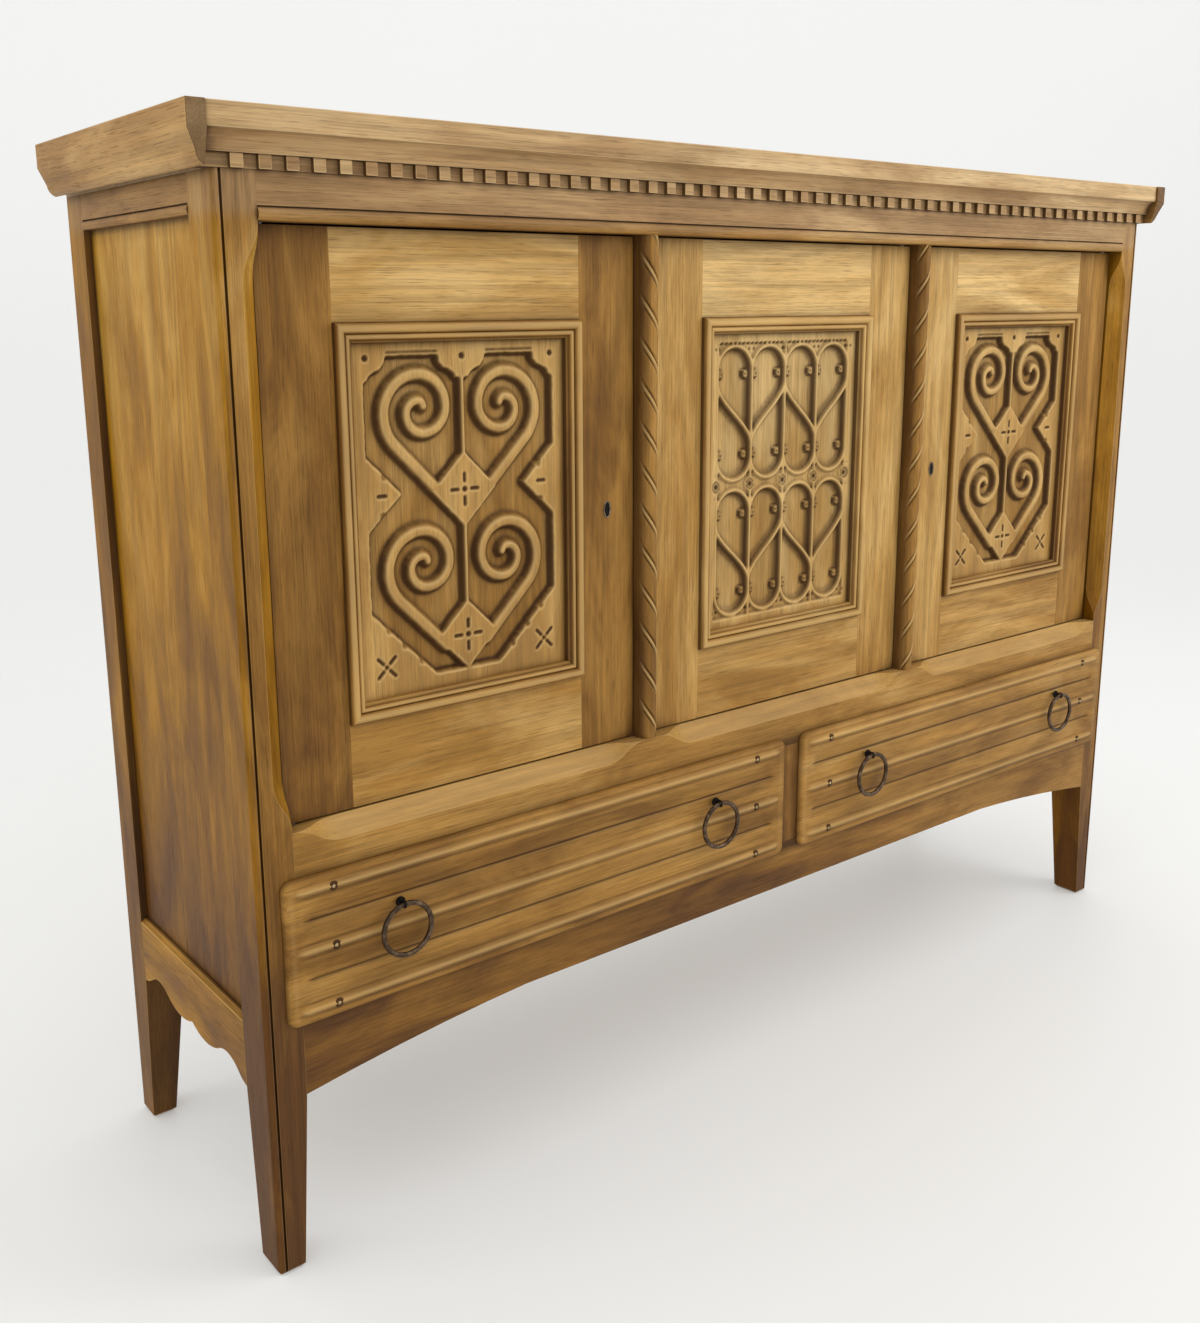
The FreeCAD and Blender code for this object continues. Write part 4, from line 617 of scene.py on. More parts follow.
def grow(name, tree, values):
    """Runs a tree with the given sizes and returns the result as a plain mesh."""
    holder = bpy.data.objects.new(name, bpy.data.meshes.new(name + "_seed"))
    bpy.context.scene.collection.objects.link(holder)
    work = holder.modifiers.new("Nodes", "NODES")
    work.node_group = tree
    for item in tree.interface.items_tree:
        if item.in_out == "INPUT":
            work[item.identifier] = values[item.name]
    mesh = bpy.data.meshes.new_from_object(holder.evaluated_get(bpy.context.evaluated_depsgraph_get()))
    holder.modifiers.remove(work)
    bpy.data.objects.remove(holder)
    mesh.name = name
    mesh.polygons.foreach_set("use_smooth", [True] * len(mesh.polygons))
    return mesh


# Boards

# Tones of the boards at the low and the high end of their grain, from left to right and then upwards; besides
# the boards' own colour they hold painted light, lighter upwards and towards the right, and lightest on the
# doors' top rails
BOARD_TONES_AND_LIGHT = {
    "left_door_stiles": ((0.20, 0.30), (0.29, 0.35)), "left_door_rails": ((0.61, 0.63), (0.78, 0.80)),
    "centre_door_stiles": ((0.60, 0.68), (0.64, 0.68)), "centre_door_rails": ((0.60, 0.62), (0.98, 1.00)),
    "right_door_stiles": ((0.70, 0.78), (0.46, 0.50)), "right_door_rails": ((0.60, 0.62), (0.90, 0.92)),
    "front_left_post": ((0.04, 0.54),), "front_right_post": ((0.12, 0.52),),
    "rear_posts": ((0.22, 0.40), (0.22, 0.40)), "frieze_rail": ((0.40, 0.66),), "sill_rail": ((0.44, 0.58),),
    "arched_apron": ((0.18, 0.46),), "drawer_divider": ((0.26, 0.36),),
    "side_panels": ((0.15, 0.66), (0.15, 0.66)), "side_top_rails": ((0.38, 0.46), (0.38, 0.46)),
    "side_skirts": ((0.40, 0.46), (0.40, 0.46)), "top_board": ((0.62, 0.80),),
    "top_battens": ((0.55, 0.55), (0.55, 0.55)), "cornice_moulding": ((0.54, 0.72),),
    "dentil_strip": ((0.60, 0.60),),
}
# Nodes whose arrises are rubbed less, as their boards meet flush
FLUSH = ("left_door_stiles", "left_door_rails", "centre_door_stiles", "centre_door_rails",
         "right_door_stiles", "right_door_rails", "drawer_divider", "frieze_rail", "side_top_rails",
         "arched_apron")
# How strongly shade is painted into the corners of some nodes, against the others
CORNER_SHADE_STRENGTH = {"cornice_moulding": 2.1, "frieze_rail": 1.3, "side_panels": 1.2, "dentil_strip": 0.4}
# Weaker painted shade on the sill's upward chamfers
CHAMFER_SHADE = 0.4
# Share of light wood on rubbed arrises and on those of flush boards, and the painted highlight on the sill's
# upward chamfers
RUBBED, RUBBED_FLUSH, CHAMFER_HIGHLIGHT = 0.6, 0.2, 0.5
# Closeness taken for faces at the back, closeness below which no shade is painted, and the most a corner is
# darkened
BACK_CLOSENESS, UNSHADED_BELOW, MOST_DARKENING = 0.2, 0.05, 0.88
# Where boards are cut across so that painted shade can gather, from their ends and sides
INSETS = (4 * MM, 9 * MM, 16 * MM, 27 * MM, 44 * MM)


def face_darkening(node, face, along):
    """How dark a face of a board is made, from 0 to 1: dark end grain, and painted shade in quirks, on the
    rear posts' fronts and about the dentils.
    """
    across = 2.0 * face.calc_area() / max(face.calc_perimeter(), 1e-9)
    sunk = any(edge.is_manifold and not edge.is_convex and edge.calc_face_angle() > math.radians(40)
               for edge in face.edges)
    # Painted shade in quirks and other narrow faces in a corner
    if sunk and across < 5 * MM:
        return 0.75
    # End grain
    if abs(face.normal[along]) > 0.95 and across > 4 * MM:
        return 0.6
    # Shaded fronts of the rear posts
    if node == "rear_posts" and face.normal.y < -0.9:
        return 0.6
    # Painted shadow on the left flanks and undersides of the dentils, then painted shade on the strip behind
    # them
    if node == "dentil_strip" and (face.normal.x < -0.7 or face.normal.z < -0.7):
        return 0.95
    if node == "dentil_strip" and across > 10 * MM:
        return 0.34
    # Front ends of the battens
    if node == "top_battens" and face.normal.y < -0.6:
        return 0.65
    return 0.0


def ray_fan(count):
    """Directions over a half sphere about Z, closer together towards the pole."""
    fan = []
    for index in range(count):
        share = (index + 0.5) / count
        turn = index * math.pi * (3.0 - math.sqrt(5.0))
        flat = math.sqrt(share)
        fan.append(Vector((flat * math.cos(turn), flat * math.sin(turn), math.sqrt(1.0 - share))))
    return fan


RAYS = ray_fan(22)
NEIGHBOURS = []


def neighbours():
    """The construction model's faces at rest, for casting rays."""
    if not NEIGHBOURS:
        points = []
        faces = []
        for node, item in frame["nodes"].items():
            if SLOT_OF[node] in ("brass", "steel", "iron"):
                continue
            start = len(points)
            points += [item.matrix_world @ point.co for point in item.data.vertices]
            faces += [tuple(start + index for index in face.vertices) for face in item.data.polygons]
        NEIGHBOURS.append(BVHTree.FromPolygons(points, faces))
    return NEIGHBOURS[0]


def closeness(point, normal, reach):
    """How far a place is shut in by its neighbours, from 0 to 1."""
    turn = normal.to_track_quat("Z", "Y")
    start = point + normal * 0.4 * MM
    shut = 0.0
    for way in RAYS:
        distance = neighbours().ray_cast(start, turn @ way, reach)[3]
        if distance is not None:
            shut += 1.0 - distance / reach
    return shut / len(RAYS)


def board_spans(bm, boards):
    """Lowest and highest place of every board along each axis."""
    places = {}
    for point in bm.verts:
        places.setdefault(boards[point.index], []).append(point.co)
    return {board: [(min(line), max(line)) for line in zip(*points)] for board, points in places.items()}


def cut_near_ends(bm):
    """Cuts boards across near their ends and sides, so that painted shade can gather there."""
    spans = board_spans(bm, islands(bm))
    for axis in range(3):
        places = set()
        for span in spans.values():
            low, high = span[axis]
            for inset in INSETS:
                if high - low > 2.2 * inset and len(spans) < 5:
                    places.update((round(low + inset, 5), round(high - inset, 5)))
        plane = Vector([float(axis == part) for part in range(3)])
        for place in sorted(places):
            bmesh.ops.bisect_plane(bm, geom=bm.verts[:] + bm.edges[:] + bm.faces[:], dist=1e-6,
                                   plane_co=plane * place, plane_no=plane)
    bm.verts.index_update()
    bm.faces.index_update()


def rounded_boards(node, source, along):
    """Boards with soft arrises under work, with rubbed faces marked, and darkened faces: dark end grain and
    painted shade.
    """
    oak = bpy.context.scene.highboard_oak
    bm = bmesh.new()
    bm.from_mesh(source)
    rubbed = bm.faces.layers.float.new("rubbed")
    darkened = bm.faces.layers.float.new("darkened")
    bmesh.ops.remove_doubles(bm, verts=bm.verts, dist=2e-6)
    bmesh.ops.dissolve_limit(bm, angle_limit=math.radians(0.6), verts=bm.verts, edges=bm.edges)
    bm.verts.index_update()
    arrises = [edge for edge in bm.edges if edge.is_manifold and edge.is_convex
               and edge.calc_face_angle() > math.radians(28)]
    flush = node in FLUSH
    made = bmesh.ops.bevel(bm, geom=arrises, offset=oak.arris * (0.5 if flush else 1.0), offset_type="OFFSET",
                           segments=2, profile=0.6, affect="EDGES", clamp_overlap=True)
    bm.verts.index_update()
    bm.normal_update()
    for face in bm.faces:
        face[darkened] = face_darkening(node, face, along)
    for face in made["faces"]:
        face[rubbed] = (RUBBED_FLUSH if flush else RUBBED) * (face[darkened] == 0.0)
    cut_near_ends(bm)
    bm.normal_update()
    return bm


def board_values(node, bm, along):
    """Values of all face corners: each board's tone with painted light along it, its rubbed arrises with a
    painted highlight on the sill's chamfers, and painted shade in its corners.
    """
    oak = bpy.context.scene.highboard_oak
    rubbed = bm.faces.layers.float["rubbed"]
    darkened = bm.faces.layers.float["darkened"]
    boards = islands(bm)
    spans = board_spans(bm, boards)
    order = sorted(spans, key=lambda board: [round(sum(spans[board][axis]), 2) for axis in (0, 2)])
    ranks = {board: rank for rank, board in enumerate(order)}
    tones = BOARD_TONES_AND_LIGHT[node]
    values = {name: [] for name in VALUES}
    shut_in = {}
    for face in bm.faces:
        # The sill's upward chamfers get a painted highlight and weaker painted shade
        chamfer = node == "sill_rail" and face.normal.z > 0.5 and face[darkened] == 0.0
        rub_and_highlight = max(face[rubbed], CHAMFER_HIGHLIGHT) if chamfer else face[rubbed]
        # Strength of the shade painted into this face's corners
        corner_shade = oak.corner_shade * (CHAMFER_SHADE if chamfer else CORNER_SHADE_STRENGTH.get(node, 1.0))
        facing = tuple(round(part, 1) for part in face.normal)
        hidden = face.normal.y > 0.7
        for corner in face.loops:
            rank = ranks[boards[corner.vert.index]]
            key = (corner.vert.index, facing)
            if key not in shut_in:
                shut_in[key] = BACK_CLOSENESS
                if not hidden:
                    shut_in[key] = closeness(corner.vert.co, face.normal, oak.reach)
            # The darker of the painted corner shade and the face's own darkening
            darkening = min(MOST_DARKENING, max(face[darkened], corner_shade * (shut_in[key] - UNSHADED_BELOW)))
            low, high = spans[order[rank]][along]
            start, end = tones[min(rank, len(tones) - 1)]
            values["board"].append((len(node) * 7 + rank * 5) % 17 / 17)
            values["tone"].append(start + (end - start) * (corner.vert.co[along] - low) / (high - low))
            values["wear"].append(rub_and_highlight * max(0.0, 1.0 - (1.0 if chamfer else 4.0) * shut_in[key]))
            values["recess"].append(max(0.0, darkening))
            # Sideways faces are painted more saturated, against their reflection of the bright surround
            values["sidelight"].append(abs(face.normal.x))
    return values


def worn_mesh(node, source, grain):
    """Boards of a node with soft, rubbed arrises and with the values of their corners."""
    along = "XYZ".index(grain)
    bm = rounded_boards(node, source, along)
    values = board_values(node, bm, along)
    mesh = bpy.data.meshes.new(node + "_boards")
    bm.to_mesh(mesh)
    bm.free()
    give_values(mesh, "CORNER", **{name: np.array(part) for name, part in values.items()})
    for name in ("rubbed", "darkened"):
        mesh.attributes.remove(mesh.attributes[name])
    mesh.polygons.foreach_set("use_smooth", [True] * len(mesh.polygons))
    mesh.set_sharp_from_angle(angle=math.radians(50))
    return mesh


def worn_boards(node, grain, source=None):
    """Replaces a node's plain boards with worn ones."""
    if source is None:
        source = frame["nodes"][node].data.copy()
        source.transform(frame["nodes"][node].matrix_world)
    mesh = worn_mesh(node, source, grain)
    piece = bpy.data.objects.new(node + "_boards", mesh)
    bpy.context.scene.collection.objects.link(piece)
    weigh = piece.modifiers.new("Even faces", "WEIGHTED_NORMAL")
    weigh.keep_sharp = True
    plain = bpy.data.meshes.new_from_object(piece.evaluated_get(bpy.context.evaluated_depsgraph_get()))
    bpy.data.objects.remove(piece)
    dress_node(node, "_boards", plain, MATERIALS[grain])


CARCASS = {
    "front_left_post": "Z", "front_right_post": "Z", "rear_posts": "Z", "frieze_rail": "X", "sill_rail": "X",
    "arched_apron": "X", "drawer_divider": "Z", "side_top_rails": "Y", "side_skirts": "Y", "side_panels": "Z",
    "top_board": "X", "top_battens": "Y", "cornice_moulding": "X",
}


class HIGHBOARD_OT_carcass(bpy.types.Operator):
    """Posts, rails, side frames and top, with rubbed arrises"""

    bl_idname = "highboard.carcass"
    bl_label = "Carcass"

    def execute(self, context):
        make_materials()
        for node, grain in CARCASS.items():
            worn_boards(node, grain)
        self.dentils(context.scene.highboard_dentils)
        return {"FINISHED"}

    def dentils(self, dentils):
        """The dentil strip with its row of blocks."""
        low, high = node_box("dentil_strip")
        face = low.y + dentils.proud
        tall = high.z - low.z
        deep = dentils.proud + 0.5 * MM
        count = 1 + int((high.x - dentils.block - low.x - dentils.start) / dentils.pitch)
        source = grow("dentil_row", dentil_tree(), {
            "Count": count, "Pitch": (dentils.pitch, 0.0, 0.0),
            "Start": (low.x + dentils.start, low.y + deep / 2, low.z + tall / 2),
            "Block": (dentils.block, deep, tall), "Strip": (high.x - low.x, high.y - face, tall),
            "Middle": (0.0, (face + high.y) / 2, low.z + tall / 2), "Material": MATERIALS["X"]})
        worn_boards("dentil_strip", "X", source)


class HIGHBOARD_OT_door_frames(bpy.types.Operator):
    """Stiles and rails of the three doors"""

    bl_idname = "highboard.door_frames"
    bl_label = "Door frames"

    def execute(self, context):
        make_materials()
        for door in ("left", "centre", "right"):
            worn_boards(door + "_door_stiles", "Z")
            worn_boards(door + "_door_rails", "X")
        return {"FINISHED"}


# Carving

def unit(values):
    """Limits values to the range from 0 to 1."""
    return np.clip(values, 0.0, 1.0)


def stroke(x, z, start, end):
    """Distance to a straight stroke."""
    run_x, run_z = end[0] - start[0], end[1] - start[1]
    share = unit(((x - start[0]) * run_x + (z - start[1]) * run_z) / (run_x ** 2 + run_z ** 2))
    return np.hypot(x - start[0] - share * run_x, z - start[1] - share * run_z)


def polygon_distance(x, z, corners):
    """Signed distance to a closed polygon, negative inside it."""
    nearest = np.full(x.shape, 1e9)
    inside = np.zeros(x.shape, bool)
    for start, end in zip(corners, corners[1:] + corners[:1]):
        nearest = np.minimum(nearest, stroke(x, z, start, end))
        (ax, az), (bx, bz) = start, end
        if az != bz:
            inside ^= ((az > z) != (bz > z)) & (x < (bx - ax) * (z - az) / (bz - az) + ax)
    return np.where(inside, -nearest, nearest)


def path_distance(x, z, path, widths):
    """Distance to a path as a share of its half width there, and the same in length."""
    share = np.full(x.shape, 1e9)
    room = np.full(x.shape, -1e9)
    for (px, pz), half in zip(path, widths):
        reach = np.hypot(x - px, z - pz)
        share = np.minimum(share, reach / half)
        room = np.maximum(room, half - reach)
    return share, room


def soften(values, reach):
    """Averages a grid with its neighbours in both directions."""
    kernel = np.ones(2 * reach + 1) / (2 * reach + 1)
    for axis in (0, 1):
        padded = np.pad(values, [(reach, reach) if a == axis else (0, 0) for a in (0, 1)], mode="edge")
        values = np.apply_along_axis(lambda line: np.convolve(line, kernel, mode="valid"), axis, padded)
    return values


# Distance from a mark's middle to its edge, and width of the wall there, in millimetres
MARK_EDGE, MARK_WALL = 2.0, 1.2


def sunk_marks(marks):
    """Depth of chisel marks from 0 to 1, from the distance to their middle."""
    return unit((MARK_EDGE - marks) / MARK_WALL)


# Outside quarter turns of a scroll in millimetres: centre across, centre up, radius
SCROLL = ((58.0, 118.0, 50.5), (58.0, 126.5, 42.0), (51.5, 126.5, 35.5), (51.5, 118.0, 27.0),
          (58.5, 118.0, 20.0), (58.5, 126.0, 12.0))
SCROLL_TAIL = (53.0, 118.0, 55.5)
TAIL_LENGTH = 84.0
# How much thinner a scroll is at its eye than at its tail
TAPER = 0.32
HEART_DROP = 174.5
# Level and half width of the two diamonds
DIAMONDS = ((30.0, 43.0), (-141.0, 41.0))
# Half of the opening round the hearts, from the top to the bottom
WINDOW = [(-60.0, 157.0), (8.0, 157.0), (11.0, 162.0), (17.0, 166.0), (25.0, 169.0), (30.0, 175.0),
          (31.0, 183.0), (98.0, 183.0), (99.0, 175.0), (104.0, 169.0), (112.0, 166.0), (119.0, 162.0),
          (121.0, 157.0), (126.0, 154.0), (126.0, 74.0), (83.0, 31.0), (126.0, -9.0), (126.0, -101.0),
          (44.0, -181.0), (-60.0, -181.0)]
# Nicks that the gouge left along the window's slanting edges: places, radius, slope and depth
NICK_RADIUS, NICK_SLOPE, NICK_DEPTH = 4.6, 2.6, 0.35
NICKS = ((105.0, -121.0), (85.0, -141.0), (63.0, -162.0), (107.0, 9.0), (104.0, 52.0))
# Lower and upper end of the stems between the scrolls, and half their width
STEMS = ((60.0, 160.0), (-115.0, -5.0))
STEM_HALF = 1.9
# Drilled dots: place and radius; chisel strokes: start, end and how much thinner they are
HEART_DOTS = ((123.0, 180.5, 1.6), (0.0, 180.5, 1.8), (110.0, -163.0, 0.9))
HEART_STROKES = [((103.0, 31.0), (113.0, 31.0), 0.0), ((33.0, 186.0), (96.0, 186.0), 0.5)]
HEART_STROKES += [((110.0 + 4.0 * x, -163.0 + 4.0 * z), (110.0 + 11.0 * x, -163.0 + 11.0 * z), 0.0)
                  for x in (-1, 1) for z in (-1, 1)]
LEAN = math.sqrt(0.5)


def scroll_path(band):
    """Middle line of a scroll from the diamond to its eye, with its half widths."""
    path = []
    tail_x, tail_z, tail = SCROLL_TAIL
    middle = tail - band / 2
    corner = (tail_x + middle * LEAN, tail_z - middle * LEAN)
    for share in np.linspace(0.0, 1.0, 60, endpoint=False):
        back = TAIL_LENGTH * (1.0 - share)
        path.append((corner[0] - back * LEAN, corner[1] - back * LEAN))
    for turn in np.radians(np.linspace(-45.0, 0.0, 30, endpoint=False)):
        path.append((tail_x + middle * math.cos(turn), tail_z + middle * math.sin(turn)))
    widths = [band / 2] * len(path)
    for index, (x, z, radius) in enumerate(SCROLL):
        for share in np.linspace(0.0, 1.0, 36, endpoint=False):
            turn = math.radians(90.0 * (index + share))
            half = band / 2 * (1.0 - TAPER * (index + share) / len(SCROLL))
            path.append((x + (radius - half) * math.cos(turn), z + (radius - half) * math.sin(turn)))
            widths.append(half)
    return path, widths


def heart_marks(side, z):
    """Distance to the chisel strokes and drilled dots of the panel with scrolled hearts."""
    marks = np.full(side.shape, 9.0)
    for level, _ in DIAMONDS:
        marks = np.minimum(marks, np.hypot(side, z - level) - 1.4)
        marks = np.minimum(marks, stroke(side, np.abs(z - level), (0.0, 9.0), (0.0, 18.0)))
        marks = np.minimum(marks, stroke(side, z - level, (9.0, 0.0), (18.0, 0.0)))
    for across, up, radius in HEART_DOTS:
        marks = np.minimum(marks, np.hypot(side - across, z - up) - radius)
    for start, end, thinner in HEART_STROKES:
        marks = np.minimum(marks, stroke(side, z, start, end) + thinner)
    return marks


def hearts_relief(x, z, cut):
    """Height and mark depth of the panel with scrolled hearts, in millimetres from its middle."""
    relief, wall = cut["relief"], cut["wall"]
    side = np.abs(x)
    wobble = 0.5 * np.sin(x * 0.32 + 2.0 * np.sin(z * 0.13)) * np.sin(z * 0.29 + 1.7 * np.sin(x * 0.17))

    def raised(room):
        return relief * unit(1.0 + (room + wobble) / wall)

    nicks = np.min([np.hypot(side - across, z - up) for across, up in NICKS], axis=0)
    height = raised(polygon_distance(side, z, WINDOW))
    height = height * (1.0 - NICK_DEPTH * unit((NICK_RADIUS - nicks) / NICK_SLOPE))
    for low, high in STEMS:
        within = np.minimum(STEM_HALF - side, np.minimum(z - low, high - z))
        height = np.maximum(height, relief * unit(1.0 + within / (wall * 1.1)))
    path, widths = scroll_path(cut["band"])
    for drop in (0.0, HEART_DROP):
        share, room = path_distance(side, z + drop, path, widths)
        crown = relief * (0.66 + 0.38 * np.sqrt(unit(1.0 - share ** 2)))
        height = np.maximum(height, crown * unit(1.0 + (room + 0.5 * wobble) / (wall * 1.2)))
    for level, half in DIAMONDS:
        room = (half - side - np.abs(z - level)) * LEAN
        height = np.where(room > -0.4, relief, np.maximum(height, raised(room)))
    sunk = sunk_marks(heart_marks(side, z))
    height = height - cut["mark"] * sunk * (height > relief * 0.5)
    height += 0.10 * np.sin(x * 0.35 + 0.6 * np.sin(z * 0.11)) * np.sin(z * 0.09)
    return height, sunk * (height > relief * 0.4)


# Lights of the tracery in millimetres: middles, half width, level and half height of the two rows
CELL_CENTRES = (-95.4, -31.8, 31.8, 95.4)
CELL_HALF = 31.8
CELL_ROWS = ((92.0, 89.0), (-96.0, 86.0))
# Height of the curve that crosses a light
CELL_CURVE = 84.0
# Bosses: levels in a light, distance from its middle, half width and half height
BOSS_LEVELS = (52.0, -55.0)
BOSS_ACROSS, BOSS_HALF, BOSS_TALL = 21.5, 4.6, 5.6
# Distance from a rib's middle to its top edge and to its foot
RIB_TOP, RIB_FOOT = 2.4, 4.0
# Rosettes where the rows meet, and the notch pairs in line with them: level and size
ROSETTES = (-127.2, -63.6, 0.0, 63.6, 127.2)
ROWS_MEET = -3.5
ROSETTE_RADIUS, ROSETTE_RING, ROSETTE_EYE = 9.5, 6.6, 2.4
NOTCHES = ((177.0, 1.0), (-176.0, 1.0), (12.0, 0.6), (-19.0, 0.6))
NOTCH_APART = 4.2
# Rim round the lights: half width, top and bottom; dashes along its top: level, pitch and reach
RIM_HALF, RIM_TOP, RIM_BOTTOM = 128.5, 183.0, -183.5
DASH_LEVEL, DASH_PITCH, DASH_REACH = 184.5, 8.0, 124.0


def tracery_net(x, z):
    """Distances to the ribs, to the lights' outlines, to the bosses and to the dots on these."""
    net = np.full(x.shape, 1e9)
    outside = np.full(x.shape, 1e9)
    bosses = np.full(x.shape, -1e9)
    marks = np.full(x.shape, 9.0)
    for level, half in CELL_ROWS:
        share = unit((level + CELL_CURVE / 2 - z) / CELL_CURVE)
        lean = 2.0 * CELL_HALF * 6.0 * share * (1.0 - share) / CELL_CURVE
        rise = np.maximum(np.abs(z - level) - half + CELL_HALF, 0.0)
        for column, centre in enumerate(CELL_CENTRES):
            gap = np.hypot(x - centre, rise) - CELL_HALF
            outside = np.minimum(outside, gap)
            way = 1.0 if column % 2 == 0 else -1.0
            bend = centre + way * CELL_HALF * (2.0 * share * share * (3.0 - 2.0 * share) - 1.0)
            net = np.minimum(net, np.minimum(np.abs(gap), np.abs(x - bend) / np.sqrt(1.0 + lean ** 2)))
            for shift in BOSS_LEVELS:
                across = np.abs(np.abs(x - centre) - BOSS_ACROSS)
                along = np.abs(z - level - shift)
                bosses = np.maximum(bosses, np.minimum(BOSS_HALF - across, BOSS_TALL - along))
                marks = np.minimum(marks, np.hypot(across, along) - 0.2)
    return net, outside, bosses, marks


def tracery_relief(x, z, cut):
    """Height and mark depth of the panel with two rows of round-ended lights."""
    relief = cut["relief"]
    net, outside, bosses, marks = tracery_net(x, z)
    rib = relief * np.sqrt(unit(1.0 - 0.3 * (net / RIB_TOP) ** 4))
    flank = relief * (0.84 - 0.36 * unit((net - RIB_TOP) / (RIB_FOOT - RIB_TOP)))
    cove = relief * 0.48 * unit(1.0 - (net - RIB_FOOT) / 5.5) ** 1.3
    height = np.where(net < RIB_TOP, rib, np.where(net < RIB_FOOT, flank, cove))
    height = np.maximum(height, relief * 0.62 * unit(bosses / 1.4))
    height = np.maximum(height, relief * 0.66 * unit(outside / 1.5))
    rim = np.maximum(np.maximum(np.abs(x) - RIM_HALF, z - RIM_TOP), RIM_BOTTOM - z)
    height = np.maximum(height, relief * unit(rim / cut["wall"] + 0.4))
    for centre in ROSETTES:
        reach = np.hypot(x - centre, z - ROWS_MEET)
        petal = relief * (0.95 + 0.05 * np.cos(6.0 * np.arctan2(z - ROWS_MEET, x - centre)))
        height = np.where(reach < ROSETTE_RADIUS, np.maximum(height, petal), height)
        marks = np.minimum(marks, np.minimum(reach - ROSETTE_EYE, np.abs(reach - ROSETTE_RING) + 0.5))
        for place, spread in NOTCHES:
            notch = np.abs(np.abs(x - centre) - NOTCH_APART) * 1.1 + np.abs(z - place) * 0.8
            marks = np.minimum(marks, notch / spread)
    along = np.abs((x + DASH_PITCH / 2) % DASH_PITCH - DASH_PITCH / 2) - 1.2
    dashes = np.maximum(np.maximum(along, np.abs(z - DASH_LEVEL) - 0.2), np.abs(x) - DASH_REACH)
    marks = np.minimum(marks, dashes + 0.8)
    deep = sunk_marks(marks) * (height > relief * 0.3)
    height = height - cut["mark"] * deep
    height += 0.07 * np.sin(x * 0.4 + 0.5 * np.sin(z * 0.13)) * np.sin(z * 0.1)
    return height, deep


RELIEFS = {"left": hearts_relief, "centre": tracery_relief, "right": hearts_relief}
PANEL_TONES = {"left": 0.61, "centre": 0.86, "right": 0.66}
MOULDING_WIDTH = 21 * MM


def moulding_shade(across, up, half):
    """Shade of the moulding on the rim of a panel, deeper on the right and at the top."""
    shade = np.zeros(across.shape)
    opening = half - Vector((1.0, 0.0, 1.0)) * MOULDING_WIDTH
    for room, dark, reach in ((opening.x - across, 0.9, 5 * MM), (opening.x + across, 0.35, 4 * MM),
                              (opening.z - up, 0.9, 5 * MM), (opening.z + up, 0.3, 4 * MM)):
        shade = np.maximum(shade, dark * np.exp(-np.clip(room, 0.0, None) / reach))
    return shade


def carved_values(height, marks, shade, relief, step):
    """Painted shade with old wax, and rubbed edges with painted highlights, of a carved surface, from its
    heights in millimetres.
    """
    near = soften(height, 2)
    around = soften(height, 5)
    rise, run = np.gradient(height, step)
    slope = np.hypot(rise, run)
    steep = unit(slope / 1.3 - 0.25)
    slope = np.maximum(slope, 1e-6)
    turned = np.clip((run + 0.8 * rise) / slope, -1.0, 1.0)
    lit = np.clip((run - rise) / slope, -1.0, 1.0)
    corner = unit((around - height) / 3.6)
    crease = unit((near - height) / 0.8)
    upper = unit(2.0 * height / relief - 1.0)
    # Painted shade on the ground and on the walls, deepest where they turn left and down, at their feet and
    # in creases
    darkening = 0.20 * (1.0 - upper) + steep * (0.50 + 0.34 * turned) + 0.26 * corner + 0.45 * crease
    # Painted shade of the moulding on the rim, and in the chisel marks and drilled dots
    recess = np.maximum(darkening, shade) + 0.85 * soften(marks, 1)
    # Rubbed edges and raised tops, with painted highlight on edges turned up and to the left, none in the
    # moulding's shade
    edge = unit((height - near) / 0.55) * upper * (1.0 - 0.5 * steep)
    wear = unit((0.78 + 0.4 * lit) * edge + 0.26 * upper) * (1.0 - shade)
    return unit(recess), wear


class HIGHBOARD_OT_panels(bpy.types.Operator):
    """Carved panels: scrolled hearts on the outer doors, tracery on the middle one"""

    bl_idname = "highboard.panels"
    bl_label = "Carved panels"

    def execute(self, context):
        make_materials()
        carving = context.scene.highboard_carving
        for door, relief in RELIEFS.items():
            self.panel(door, relief, carving)
        return {"FINISHED"}

    def panel(self, door, relief, carving):
        """One panel: a carved front, plain edges and a plain back."""
        node = door + "_door_panel"
        low, high = node_box(node)
        frame_low, frame_high = node_box(door + "_door_moulding")
        middle = (low + high) / 2
        half = (frame_high - frame_low) / 2
        floor = frame_high.y
        columns = int(2 * half.x / carving.step) // 2 * 2 + 1
        rows = int(2 * half.z / carving.step) // 2 * 2 + 1
        across, up = np.meshgrid(np.linspace(-half.x, half.x, columns), np.linspace(-half.z, half.z, rows))
        cut = {name: getattr(carving, name) / MM for name in ("relief", "wall", "band", "mark", "step")}
        height, marks = relief(across / MM, up / MM, cut)
        height = soften(height, 1)
        shade = moulding_shade(across, up, half)
        recess, wear = carved_values(height, marks, shade, cut["relief"], cut["step"])
        front = np.stack([middle.x + across, floor - height * MM, middle.z + up], axis=-1).reshape(-1, 3)
        corners, sides = box_points((low.x, floor + 0.2 * MM, low.z), high)
        faces = grid_faces(rows, columns) + shifted(sides, len(front))
        mesh = build_mesh(node + "_carving", np.vstack([front, corners]), faces, 80.0)
        plain = np.zeros(len(corners))
        # Painted light: the panel grows lighter towards the top
        tone = PANEL_TONES[door] + 0.11 * (up / half.z - 0.3)
        give_values(mesh, tone=np.concatenate([tone.ravel(), plain + 0.4]),
                    wear=np.concatenate([wear.ravel(), plain]),
                    recess=np.concatenate([recess.ravel(), plain]))
        dress_node(node, "_carving", mesh, MATERIALS["Z"])


